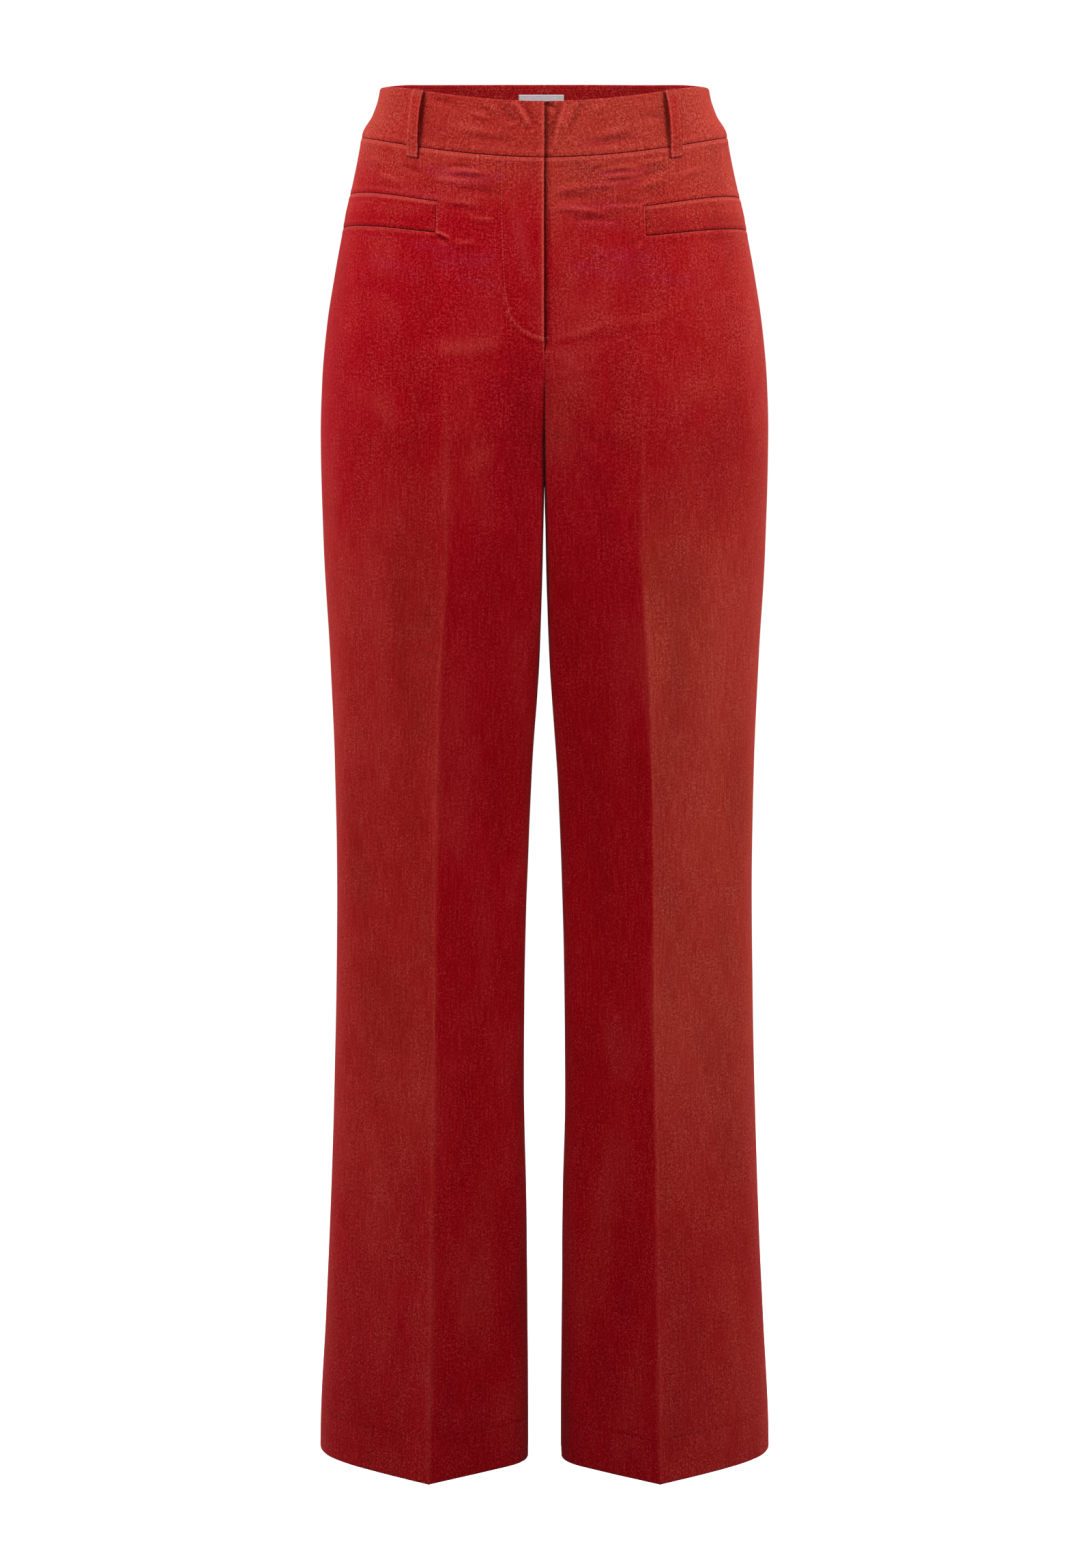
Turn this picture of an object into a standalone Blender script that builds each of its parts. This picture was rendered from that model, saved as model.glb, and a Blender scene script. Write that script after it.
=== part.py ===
"""Flared velvet trousers, filled out as if worn, with nobody inside.

Metres, +Z up. The front faces -Y and the wearer's right side is at -X. The
origin is the middle of the waist, level with the waistband's top edge at the
sides. Every piece of cloth is its own closed solid: a thin wall that follows
the garment's outer face, 0.3 mm from its neighbours at the seams.
"""

import math
from collections import namedtuple

import bmesh
import bpy
import numpy as np

# Cloth and seams
CLOTH = 0.0016
BAND_WALL = 0.0024
HEM_WALL = 0.0028
SEAM_GAP = 0.0003
LAID_GAP = 0.0004

# Lengths down the garment, measured as drops below the waist's top edge
LENGTH = 1.068
BAND_DEPTH = 0.0402
FLY_END = 0.187
CROTCH = 0.2645
HEM_DEPTH = 0.034
HEM_STEP = 0.0008

# The waist's top edge hangs lower at the front: by FRONT_DIP where the cloth
# stands DIP_REACH out from the side seams, fading out over DIP_FADE below the band
FRONT_DIP = 0.012
DIP_REACH = 0.0945
DIP_POWER = 2.6
DIP_FADE = 0.12

# Front closure: the wearer's right side laps over the left
UNDERLAP = 0.018
LAP_LIFT = 0.0006
LAP_TUCK = 0.0021
BAND_LAP_TUCK = 0.0029
LAP_RAMP = 0.012
LAP_FADE = 0.014

# Pocket welts: drop of the top and bottom edge at the side seam, how far the
# inner end lies from the middle, and how much higher the slit lies there. The
# rows of cloth beside it rise with it, from the band down to RISE_END.
Welt = namedtuple("Welt", "top bottom inner rise")
WELTS = {
    "right": Welt(0.0838, 0.1090, 0.0815, 0.0055),
    "left": Welt(0.0865, 0.1110, 0.0760, 0.0050),
}
RISE_END = 0.18

# Belt loops: distance from the middle at the top and at the bottom end
LOOP_WIDTH = 0.011
LOOP_LENGTH = 0.051
LOOP_WALL = 0.0016
LOOP_STAND = 0.0026
LOOP_LAST_STITCH = 0.86
FRONT_LOOP_X = (0.0930, 0.0985)
BACK_LOOP_X = (0.0340, 0.0350)

# Blank label inside the back of the waistband
LABEL_WIDTH = 0.036
LABEL_X = -0.0025
LABEL_HEIGHT = 0.026
LABEL_DROP = 0.0072
LABEL_WALL = 0.0006
LABEL_GAP = 0.0005

# Half-widths seen from the front: the silhouette, and the inside of a leg
Outline = namedtuple("Outline", "drop outer inner")
OUTLINE = (
    Outline(0.000, 0.1252, 0.0002),
    Outline(0.011, 0.1271, 0.0002),
    Outline(0.023, 0.1309, 0.0002),
    Outline(0.036, 0.1384, 0.0002),
    Outline(0.041, 0.1393, 0.0002),
    Outline(0.060, 0.1429, 0.0002),
    Outline(0.101, 0.1520, 0.0002),
    Outline(0.142, 0.1600, 0.0002),
    Outline(0.184, 0.1667, 0.0002),
    Outline(0.226, 0.1706, 0.0002),
    Outline(0.265, 0.1719, 0.0008),
    Outline(0.352, 0.1701, 0.0013),
    Outline(0.437, 0.1657, 0.0040),
    Outline(0.522, 0.1625, 0.0098),
    Outline(0.608, 0.1614, 0.0136),
    Outline(0.695, 0.1625, 0.0157),
    Outline(0.782, 0.1647, 0.0163),
    Outline(0.870, 0.1679, 0.0145),
    Outline(0.958, 0.1722, 0.0137),
    Outline(1.046, 0.1771, 0.0130),
    Outline(1.068, 0.1776, 0.0130),
)

# Depth of the front and back faces from the plane of the side seams.
# The pressed fold stands at fold_x and reaches out by fold. Coming from the
# side seam the cloth still rises by `rise` degrees there, and leaves it
# falling by `fall` degrees. It meets the middle plane at the depth meet, by
# then turned by `turn` degrees: 0 runs straight across, 90 goes inward. From
# there it goes straight back to the middle seam or the inseam at the depth
# centre, and the corner between takes this much cloth on each side of it.
Profile = namedtuple("Profile", "drop fold_x fold rise fall meet turn centre corner full")
FRONT = (
    Profile(0.000, 0.0700, 0.0780, 27, -27, 0.0940, 0, 0.0940, 0.005, 0.62),
    Profile(0.041, 0.0710, 0.0845, 23, -22, 0.0985, 0, 0.0985, 0.005, 0.62),
    Profile(0.100, 0.0730, 0.0935, 19, -16, 0.1045, 0, 0.1045, 0.005, 0.62),
    Profile(0.150, 0.0740, 0.1015, 14, -7, 0.1072, 0, 0.1072, 0.005, 0.62),
    Profile(0.187, 0.0740, 0.1062, 12, 0, 0.1065, 3, 0.1065, 0.005, 0.62),
    Profile(0.213, 0.0740, 0.1085, 12, 4, 0.1040, 6, 0.1010, 0.006, 0.62),
    Profile(0.235, 0.0740, 0.1094, 12.2, 7, 0.1000, 9, 0.0850, 0.006, 0.62),
    Profile(0.250, 0.0740, 0.1096, 12.6, 8.8, 0.0968, 11, 0.0610, 0.007, 0.62),
    Profile(0.259, 0.0740, 0.1094, 13, 9.8, 0.0947, 12.3, 0.0320, 0.008, 0.62),
    Profile(0.2645, 0.0740, 0.1090, 13.3, 10.5, 0.0932, 13, -0.0120, 0.009, 0.62),
    Profile(0.350, 0.0738, 0.1030, 18, 17, 0.0778, 21, -0.0100, 0.010, 0.66),
    Profile(0.450, 0.0790, 0.0940, 25, 24, 0.0578, 28, -0.0040, 0.011, 0.71),
    Profile(0.566, 0.0822, 0.0865, 30, 29.5, 0.0440, 33, 0.0000, 0.012, 0.76),
    Profile(0.700, 0.0835, 0.0885, 33, 33, 0.0420, 36, 0.0010, 0.013, 0.79),
    Profile(0.870, 0.0860, 0.0975, 36, 36, 0.0425, 39, 0.0010, 0.015, 0.81),
    Profile(1.068, 0.0892, 0.1110, 38.5, 38.5, 0.0480, 41.5, 0.0010, 0.017, 0.82),
)
BACK = (
    Profile(0.000, 0.0700, 0.0795, 27, -27, 0.0955, 0, 0.0955, 0.008, 0.62),
    Profile(0.041, 0.0720, 0.0915, 24, -20, 0.1040, 0, 0.1040, 0.008, 0.62),
    Profile(0.100, 0.0740, 0.1075, 20, -10, 0.1140, 0, 0.1140, 0.008, 0.62),
    Profile(0.150, 0.0760, 0.1185, 16, -2, 0.1180, 3, 0.1180, 0.008, 0.62),
    Profile(0.187, 0.0770, 0.1232, 14, 3, 0.1185, 6, 0.1160, 0.008, 0.62),
    Profile(0.213, 0.0775, 0.1232, 14, 6, 0.1145, 9, 0.1075, 0.008, 0.62),
    Profile(0.235, 0.0779, 0.1212, 14.4, 8, 0.1085, 12, 0.0910, 0.008, 0.62),
    Profile(0.250, 0.0780, 0.1188, 14.8, 9.5, 0.1035, 14, 0.0690, 0.008, 0.62),
    Profile(0.259, 0.0781, 0.1170, 15.1, 10.5, 0.1000, 15.5, 0.0440, 0.008, 0.62),
    Profile(0.2645, 0.0782, 0.1158, 15.3, 11, 0.0978, 16, 0.0120, 0.008, 0.62),
    Profile(0.350, 0.0790, 0.1040, 18, 15.5, 0.0780, 22, 0.0100, 0.012, 0.66),
    Profile(0.450, 0.0800, 0.0900, 22, 20, 0.0590, 26, 0.0040, 0.018, 0.71),
    Profile(0.566, 0.0815, 0.0775, 26, 26, 0.0405, 31, 0.0000, 0.022, 0.76),
    Profile(0.700, 0.0830, 0.0795, 30, 30, 0.0375, 34, -0.0010, 0.024, 0.79),
    Profile(0.870, 0.0860, 0.0885, 33, 33, 0.0390, 37, -0.0010, 0.024, 0.81),
    Profile(1.068, 0.0892, 0.1000, 35, 35, 0.0435, 39, -0.0010, 0.024, 0.82),
)

# Rows of the faceted band, and of the panels below the waist seam, where the
# welt's own rows come between them
BAND_ROWS = (0.0, 0.011, 0.023, 0.032, BAND_DEPTH)
PANEL_ROWS = (
    0.055, 0.069, 0.125, 0.145, 0.167, FLY_END, 0.203, 0.220, 0.235, 0.247, 0.256,
    0.2612, CROTCH, 0.290, 0.330, 0.385, 0.445, 0.505, 0.566, 0.630, 0.700, 0.780,
    0.870, 0.960, LENGTH - HEM_DEPTH - HEM_STEP, LENGTH - HEM_DEPTH, LENGTH,
)
QUARTER = 6

# Columns from the pressed fold inwards, and the shares of that run at which the
# cloth is CORNER_REACH before the corner, at it, CORNER_REACH behind it and at the
# seam. The corner starts where the seam lies CORNER_START behind the flat cloth.
INNER_SHARES = (1.0, 1.17, 1.33, 1.5, 1.575, 1.65, 1.725, 1.8, 1.9, 2.0)
CORNER_REACH = 0.018
CORNER_START = 0.004
CORNER_SHARES = (0.0, 0.5, 0.65, 0.8, 1.0)

SLOPE_STEP = 0.0008
TINY = 0.00001
SIDE_SIGN = {"right": -1, "left": 1}
HALF_SIGN = {"front": -1, "back": 1}
PROFILES = {"front": FRONT, "back": BACK}

Finish = namedtuple("Finish", "colour roughness")
VELVET = Finish((0.305, 0.012, 0.016), 0.85)
LABEL_TAPE = Finish((0.47, 0.46, 0.49), 0.60)


# ---------------------------------------------------------------- the form


def eased(table, column):
    """A function that reads one column at any drop, eased between rows without overshoot."""
    at = np.array([row.drop for row in table])
    value = np.array([getattr(row, column) for row in table], dtype=float)
    step = np.diff(at)
    rise = np.diff(value) / step
    slope = np.zeros(len(at))
    slope[0] = rise[0]
    slope[-1] = rise[-1]
    for i in range(1, len(at) - 1):
        if rise[i - 1] * rise[i] > 0:
            slope[i] = 2 * rise[i - 1] * rise[i] / (rise[i - 1] + rise[i])

    def read(drop):
        i = int(np.clip(np.searchsorted(at, drop, side="right") - 1, 0, len(step) - 1))
        t = (drop - at[i]) / step[i]
        start = value[i] * (1 + 2 * t) * (1 - t) ** 2 + slope[i] * step[i] * t * (1 - t) ** 2
        end = value[i + 1] * t * t * (3 - 2 * t) - slope[i + 1] * step[i] * t * t * (1 - t)
        return start + end

    return read


outline_at = {name: eased(OUTLINE, name) for name in ("outer", "inner")}
profile_at = {
    half: {name: eased(table, name) for name in Profile._fields[1:]}
    for half, table in PROFILES.items()
}


def smooth(t):
    """0 to 1 with a soft start and end."""
    t = np.clip(t, 0.0, 1.0)
    return t * t * (3 - 2 * t)


def way(degrees):
    """Direction in plan for cloth running from the side to the middle, turned inward by this angle."""
    return np.array([-math.cos(math.radians(degrees)), -math.sin(math.radians(degrees))])


def arc(start, start_way, end, end_way, full):
    """A cubic arc that leaves and arrives along the given ways, as a function of 0 to 1, and its chord."""
    chord = end - start
    length = np.linalg.norm(chord)
    chord_way = chord / length
    first = max(math.acos(np.clip(start_way @ chord_way, -1, 1)), math.radians(3))
    last = max(math.acos(np.clip(end_way @ chord_way, -1, 1)), math.radians(3))
    reach = full * length / math.sin(first + last)
    near = start + start_way * reach * math.sin(last)
    far = end - end_way * reach * math.sin(first)

    def at(t):
        t = t[:, None]
        return (1 - t) ** 3 * start + 3 * (1 - t) ** 2 * t * near + 3 * (1 - t) * t**2 * far + t**3 * end

    return at, length


def half_plus(u, soft):
    """0 below zero and u above it, with a soft turn between."""
    return np.where(np.abs(u) < soft, (u + soft) ** 2 / (4 * soft), np.maximum(u, 0.0))


def turned_in(flat, length, soft, u):
    """Points of cloth that follows an arc and turns straight back where it ends.

    u is the way along: -length at the arc's start, 0 at the corner, and more behind it.
    """
    points = flat(1 - half_plus(-u, soft) / length)
    points[:, 1] -= half_plus(u, soft)
    return points


def corner_way(length, back, t):
    """The way along for a share of 0 to 1, with the corner always at the same share."""
    turned = smooth(back / CORNER_START)
    before, after = (1 - turned) * CORNER_REACH, turned * np.minimum(CORNER_REACH, back / 2)
    stops = (-length, -CORNER_REACH, -0.7 * before, after - 0.4 * before, back)
    along = stops[0]
    for share, next_share, stop, next_stop in zip(CORNER_SHARES, CORNER_SHARES[1:], stops, stops[1:]):
        along = along + (next_stop - stop) * np.clip((t - share) / (next_share - share), 0, 1)
    return along


def section(half, drop, shares):
    """Plan of one quarter of the garment at a drop, as distance from the middle and depth.

    A share of 0 is the side seam, 1 the pressed fold and 2 the middle seam or inseam.
    """
    read = profile_at[half]
    rise, fall, turn, full = (read[name](drop) for name in ("rise", "fall", "turn", "full"))
    meet, centre, corner = (read[name](drop) for name in ("meet", "centre", "corner"))
    other = profile_at["back" if half == "front" else "front"]["centre"](drop)
    if drop >= CROTCH:
        centre = (centre - other) / 2
    side = np.array([outline_at["outer"](drop), 0.0])
    fold = np.array([read["fold_x"](drop), read["fold"](drop)])
    end = np.array([outline_at["inner"](drop), meet])
    outer_arc, _ = arc(side, np.array([0.0, 1.0]), fold, way(-rise), full)
    flat, length = arc(fold, way(fall), end, way(turn), full)
    back = max(meet - centre, 0.0)
    soft = min(corner, max(back / 2, TINY / 100))
    shares = np.asarray(shares, dtype=float)
    t = np.minimum(shares, 1)
    u = corner_way(length, back, np.clip(shares - 1, 0, 1))
    past_fold = (shares > 1)[:, None]
    points = np.where(past_fold, turned_in(flat, length, soft, u), outer_arc(t))
    outer_step = outer_arc(np.minimum(t + TINY, 1)) - outer_arc(np.maximum(t - TINY, 0))
    inner_step = turned_in(flat, length, soft, np.minimum(u + TINY, back))
    inner_step -= turned_in(flat, length, soft, np.maximum(u - TINY, -length))
    tangents = np.where(past_fold, inner_step, outer_step)
    at_fold = np.isclose(shares, 1)
    tangents[at_fold] = way(-rise) + way(fall)
    return points, tangents / np.linalg.norm(tangents, axis=1, keepdims=True)


def dip(half, drop, depth):
    """How far the waist's front hangs below its sides, fading out down the hips."""
    if half == "back":
        return np.zeros_like(depth)
    fade = 1 - smooth((drop - BAND_DEPTH) / DIP_FADE)
    return FRONT_DIP * fade * np.clip(depth / DIP_REACH, 0, 1.2) ** DIP_POWER


def sections(half, drops, shares):
    """Plan and tangents where each share has a drop of its own."""
    each = [section(half, drop, [share]) for drop, share in zip(drops, shares)]
    return np.array([plan[0] for plan, _ in each]), np.array([tangent[0] for _, tangent in each])


def face(side, half, drops, shares, trim=0.0):
    """World points and outward normals of the cloth's outer face along one row.

    drops is one number or one for each share; trim draws both seam edges back along the cloth.
    """
    shares = np.asarray(shares, dtype=float)
    drops = np.broadcast_to(drops, shares.shape)
    plan, tangent = sections(half, drops, shares)
    higher, lower = np.maximum(drops - SLOPE_STEP, 0.0), np.minimum(drops + SLOPE_STEP, LENGTH)
    run = sections(half, lower, shares)[0] - sections(half, higher, shares)[0]
    run /= (lower - higher)[:, None]
    outward = np.column_stack([tangent[:, 1], -tangent[:, 0]])
    for end, sign in ((0, 1), (-1, -1)):
        if shares[end] in (0.0, 2.0):
            plan[end] += sign * trim * tangent[end]
    sink = dip(half, drops, plan[:, 1])
    mirror = np.array([SIDE_SIGN[side], HALF_SIGN[half]])
    points = np.column_stack([plan * mirror, -(drops + sink)])
    normals = np.column_stack([outward * mirror, (outward * run).sum(axis=1)])
    return points, normals / np.linalg.norm(normals, axis=1, keepdims=True)


def share_at(half, drop, x, along=0.0):
    """Share at a distance x from the middle, moved on along the cloth towards the middle."""
    shares = np.linspace(0, 2, 321)
    plan = section(half, drop, shares)[0]
    run = np.concatenate([[0.0], np.cumsum(np.linalg.norm(np.diff(plan, axis=0), axis=1))])
    start = np.interp(-x, -plan[:, 0], run)
    return float(np.interp(start + along, run, shares))


def slit_share(side, offset):
    """Share at the inner end of the pocket slit, or an offset further from the middle."""
    welt = WELTS[side]
    return share_at("front", (welt.top + welt.bottom) / 2, welt.inner + offset)


def slit_rise(side, drop, shares):
    """How much higher than at the side seam a row of the front lies at each share."""
    welt = WELTS[side]
    t = np.clip(np.asarray(shares) / slit_share(side, 0.0), 0, 1.25)
    along = np.sin(math.pi / 2 * np.minimum(t / 0.75, 1.0)) - 0.16 * smooth((t - 0.75) / 0.35)
    above = smooth((drop - BAND_DEPTH) / (welt.top - BAND_DEPTH))
    below = 1 - smooth((drop - welt.bottom) / (RISE_END - welt.bottom))
    return welt.rise * along * above * below


def closure_shift(side, half, x, drops, tuck):
    """Outward shift that lets the right front lap over the left one, at a distance x from the middle."""
    if half == "back":
        return np.zeros_like(x)
    fade = 1 - smooth((drops - FLY_END) / LAP_FADE)
    near = 1 - smooth(x / LAP_RAMP)
    return fade * near * (LAP_LIFT if side == "right" else -tuck)


def shifted(side, half, drops, shares, tuck, trim=0.0):
    """The outer face with the closure's lap worked in."""
    points, normals = face(side, half, drops, shares, trim)
    shift = closure_shift(side, half, np.abs(points[:, 0]), drops, tuck)
    return points + normals * shift[:, None], normals


def underlap(drop, reaches, tuck):
    """Continuation of the left front beyond the middle, under the right one."""
    shares = [share_at("front", drop, 0.0, -reach) for reach in reaches]
    points, normals = face("right", "front", drop, shares)
    return points - normals * tuck, normals


# ---------------------------------------------------------------- the solids


def finish_material(name, finish):
    """A Principled material of one plain colour."""
    material = bpy.data.materials.new(name)
    material.use_nodes = True
    shader = material.node_tree.nodes["Principled BSDF"]
    shader.inputs["Base Color"].default_value = (*finish.colour, 1.0)
    shader.inputs["Roughness"].default_value = finish.roughness
    shader.inputs["Metallic"].default_value = 0.0
    material.diffuse_color = (*finish.colour, 1.0)
    return material


def shell(name, outer, inner, finish, keep=None):
    """One closed wall between two grids of points; keep marks the cells that are cloth."""
    rows, columns = outer.shape[:2]
    if keep is None:
        keep = np.ones((rows - 1, columns - 1), dtype=bool)
    cells = bmesh.new()
    corner = {}

    def vertex(layer, r, c):
        key = (layer, r, c)
        if key not in corner:
            corner[key] = cells.verts.new((outer, inner)[layer][r, c])
        return corner[key]

    edges = set()
    for r, c in np.argwhere(keep):
        ring = [(r, c), (r, c + 1), (r + 1, c + 1), (r + 1, c)]
        cells.faces.new([vertex(0, *at) for at in ring])
        cells.faces.new([vertex(1, *at) for at in reversed(ring)])
        edges.update(zip(ring, ring[1:] + ring[:1]))
    for start, end in sorted(edges):
        if (end, start) not in edges:
            cells.faces.new([vertex(0, *end), vertex(0, *start), vertex(1, *start), vertex(1, *end)])
    bmesh.ops.recalc_face_normals(cells, faces=cells.faces)
    mesh = bpy.data.meshes.new(name)
    cells.to_mesh(mesh)
    cells.free()
    mesh.materials.append(finish_material(name, finish))
    mesh.shade_smooth()
    mesh.set_sharp_from_angle(angle=math.radians(35))
    piece = bpy.data.objects.new(name, mesh)
    bpy.context.collection.objects.link(piece)
    return piece


def panel_wall(drop):
    """The cloth is turned up and doubled at the hem."""
    return HEM_WALL if drop >= LENGTH - HEM_DEPTH else CLOTH


def panel(side, half):
    """A front or back of one leg, from the waist seam to the hem."""
    name = f"{half}_{side}"
    welt = WELTS[side]
    front = half == "front"
    middle = (welt.top + welt.bottom) / 2
    if front:
        welt_rows = (welt.top - SEAM_GAP / 2, middle, welt.bottom + SEAM_GAP / 2)
        last_share = slit_share(side, -SEAM_GAP / 2)
    else:
        welt_rows = (welt.top, middle, welt.bottom)
        last_share = 1 - 1 / QUARTER
    drops = sorted((BAND_DEPTH + SEAM_GAP, *welt_rows, *PANEL_ROWS))
    shares = [*np.linspace(0, last_share, QUARTER), *INNER_SHARES]
    laps_under = front and side == "left"
    extra = (UNDERLAP / 2, UNDERLAP) if laps_under else ()
    outer, inner = [], []
    for drop in drops:
        risen = drop - slit_rise(side, drop, shares) if front else np.full(len(shares), drop)
        points, normals = shifted(side, half, risen, shares, LAP_TUCK, SEAM_GAP / 2)
        if laps_under:
            # the extension ends with the fly, so the rows below it only fill the grid and aren't kept
            more = underlap(min(risen[-1], FLY_END), extra, LAP_TUCK)
            points = np.vstack([points, more[0]])
            normals = np.vstack([normals, more[1]])
        outer.append(points)
        inner.append(points - normals * panel_wall(drop))
    keep = np.ones((len(drops) - 1, len(shares) + len(extra) - 1), dtype=bool)
    for r, drop in enumerate(drops[:-1]):
        if laps_under and drop >= FLY_END:
            keep[r, len(shares) - 1 :] = False
        if front and drop in welt_rows[:2]:
            keep[r, : QUARTER - 1] = False
    return shell(name, np.array(outer), np.array(inner), VELVET, keep)


def pocket_welt(side):
    """The strip that fills the slit in the front's side edge."""
    welt = WELTS[side]
    drops = (welt.top + SEAM_GAP / 2, (welt.top + welt.bottom) / 2, welt.bottom - SEAM_GAP / 2)
    shares = np.linspace(0, slit_share(side, SEAM_GAP / 2), QUARTER)
    outer, inner = [], []
    for drop in drops:
        risen = drop - slit_rise(side, drop, shares)
        points, normals = face(side, "front", risen, shares, SEAM_GAP / 2)
        outer.append(points)
        inner.append(points - normals * CLOTH)
    return shell(f"pocket_welt_{side}", np.array(outer), np.array(inner), VELVET)


def waistband(side):
    """Half the band, from the middle of the back round the side to the closure."""
    shares = np.linspace(0, 1, QUARTER + 1)
    back_shares = [*shares, *(1 + shares[1:])]
    front_shares = [*np.linspace(0, slit_share(side, -SEAM_GAP / 2), QUARTER), *(1 + shares)]
    outer, inner = [], []
    for drop in BAND_ROWS:
        back_points, back_normals = face(side, "back", drop, back_shares, SEAM_GAP / 2)
        points, normals = shifted(side, "front", drop, front_shares, BAND_LAP_TUCK, SEAM_GAP / 2)
        # the band has no side seam, so the point there lies on the line between front and back
        back_points[0, 1] = 0.0
        points = np.vstack([back_points[::-1], points[1:]])
        normals = np.vstack([back_normals[::-1], normals[1:]])
        if side == "left":
            more = underlap(drop, (UNDERLAP / 2, UNDERLAP), BAND_LAP_TUCK)
            points = np.vstack([points, more[0]])
            normals = np.vstack([normals, more[1]])
        outer.append(points)
        inner.append(points - normals * BAND_WALL)
    return shell(f"waistband_{side}", np.array(outer), np.array(inner), VELVET)


def belt_loop(side, half, ends):
    """A strap that stands off the band between its two sewn ends."""
    outer, inner = [], []
    for t in np.linspace(0, 1, 8):
        drop = LOOP_LENGTH * t
        x = ends[0] + (ends[1] - ends[0]) * t
        shares = [share_at(half, drop, x, reach) for reach in (-LOOP_WIDTH / 2, 0.0, LOOP_WIDTH / 2)]
        points, normals = face(side, half, drop, shares)
        lift = LAID_GAP + LOOP_STAND * math.sin(math.pi * min(t / LOOP_LAST_STITCH, 1.0)) ** 0.6
        outer.append(points + normals * (lift + LOOP_WALL))
        inner.append(points + normals * lift)
    return shell(f"belt_loop_{half}_{side}", np.array(outer), np.array(inner), VELVET)


def label():
    """A blank label sewn inside the back of the band."""
    outer, inner = [], []
    for drop in np.linspace(LABEL_DROP, LABEL_DROP + LABEL_HEIGHT, 3):
        near, far = [], []
        for x in LABEL_X + np.linspace(-LABEL_WIDTH / 2, LABEL_WIDTH / 2, 5):
            side = "right" if x < 0 else "left"
            share = share_at("back", drop, max(abs(x), 0.0003))
            points, normals = face(side, "back", drop, [share])
            near.append(points[0] - normals[0] * (BAND_WALL + LABEL_GAP))
            far.append(near[-1] - normals[0] * LABEL_WALL)
        outer.append(near)
        inner.append(far)
    return shell("label", np.array(outer), np.array(inner), LABEL_TAPE)


def main():
    for leftover in list(bpy.data.objects):
        bpy.data.objects.remove(leftover, do_unlink=True)
    for side in ("right", "left"):
        waistband(side)
        panel(side, "front")
        panel(side, "back")
        pocket_welt(side)
        belt_loop(side, "front", FRONT_LOOP_X)
        belt_loop(side, "back", BACK_LOOP_X)
    label()


main()
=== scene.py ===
# %% [markdown]
# # Flared velvet trousers
#
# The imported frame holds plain, faceted walls of cloth at their real size and place. This
# lesson dresses them: every wall is made again as a fine shell of velvet with its seams,
# pressed folds, small creases and stitches. All lengths are metres, the front faces -Y, and
# the wearer's right side is at -X, which is on the left as we look at the front. A "drop" is
# a length measured downwards from the waist's top edge.

# %% Load the frame
import math
from collections import namedtuple

import bpy
import numpy as np
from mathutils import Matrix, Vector, noise
from mathutils.bvhtree import BVHTree


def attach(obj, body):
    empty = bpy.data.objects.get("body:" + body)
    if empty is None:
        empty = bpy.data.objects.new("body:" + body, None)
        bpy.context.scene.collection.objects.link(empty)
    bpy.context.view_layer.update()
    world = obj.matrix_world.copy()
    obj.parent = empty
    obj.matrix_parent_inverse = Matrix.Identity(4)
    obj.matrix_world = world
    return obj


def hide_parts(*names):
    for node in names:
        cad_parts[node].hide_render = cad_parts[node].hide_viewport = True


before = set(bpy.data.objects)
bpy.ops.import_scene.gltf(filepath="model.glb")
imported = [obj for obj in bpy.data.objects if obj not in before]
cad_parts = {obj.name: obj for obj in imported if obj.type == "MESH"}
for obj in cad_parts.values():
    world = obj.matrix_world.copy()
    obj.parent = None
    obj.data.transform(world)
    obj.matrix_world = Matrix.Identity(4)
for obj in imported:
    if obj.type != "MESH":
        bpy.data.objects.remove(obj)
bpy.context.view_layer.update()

print("nodes in the frame:", ", ".join(sorted(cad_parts)))

# %% [markdown]
# ## The camera
#
# A garment shown for sale is seen from far away with a long lens, so that it keeps its
# proportions. The eye is level with the waist, because the waist's top edge closes into a
# thin lens shape there, and it looks down a little, so that the hems show their curve. The
# distance follows from those two curves. A blender camera looks down its own -Z axis, so a
# quarter turn about X makes it look along +Y, and a little less than that tips it down.

# %% Camera
PHOTO_HEIGHT = 2298
CAMERA_DISTANCE = 3.70
CAMERA_PITCH = math.atan(0.14543)
FOCAL_PIXELS = 7048
SENSOR = 36.0

camera = bpy.data.objects.new("camera", bpy.data.cameras.new("camera"))
bpy.context.scene.collection.objects.link(camera)
camera.location = (0.0, -CAMERA_DISTANCE, 0.0)
camera.rotation_euler = (math.pi / 2 - CAMERA_PITCH, 0.0, 0.0)
camera.data.sensor_width = SENSOR
camera.data.lens = SENSOR * FOCAL_PIXELS / PHOTO_HEIGHT
bpy.context.scene.camera = camera
print("lens:", round(camera.data.lens, 1), "mm")

# %% [markdown]
# ## Light, floor and backdrop
#
# Softboxes stand all round, so that every side can be looked at. The two nearest to the
# camera stand well out to the sides: they rake across the outer half of each leg and leave
# its inner half darker, which is what draws the pressed fold. One hangs above the front and
# makes the waist the brightest part. Each place is told by its bearing round the garment,
# from 0 at the front to 90 at the wearer's left.

# %% Softboxes
Softbox = namedtuple("Softbox", "bearing distance height aim width tall watts")
SOFTBOXES = {
    "softbox_right_of_camera": Softbox(56, 1.8, 0.50, -0.20, 0.8, 1.4, 24),
    "softbox_left_of_camera": Softbox(-56, 1.8, 0.50, -0.20, 0.8, 1.4, 21),
    "softbox_side_right": Softbox(92, 1.8, 0.20, -0.35, 0.8, 1.6, 9),
    "softbox_side_left": Softbox(-92, 1.8, 0.20, -0.35, 0.8, 1.6, 10),
    "softbox_above": Softbox(-8, 1.5, 1.30, -0.10, 1.6, 0.8, 14),
    "softbox_back_right": Softbox(138, 1.9, 0.50, -0.25, 0.8, 1.4, 22),
    "softbox_back_left": Softbox(-138, 1.9, 0.50, -0.25, 0.8, 1.4, 22),
    "softbox_above_back": Softbox(180, 1.5, 1.30, -0.10, 1.6, 0.8, 14),
}
LIGHT_COLOUR = (1.0, 0.99, 0.97)


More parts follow.
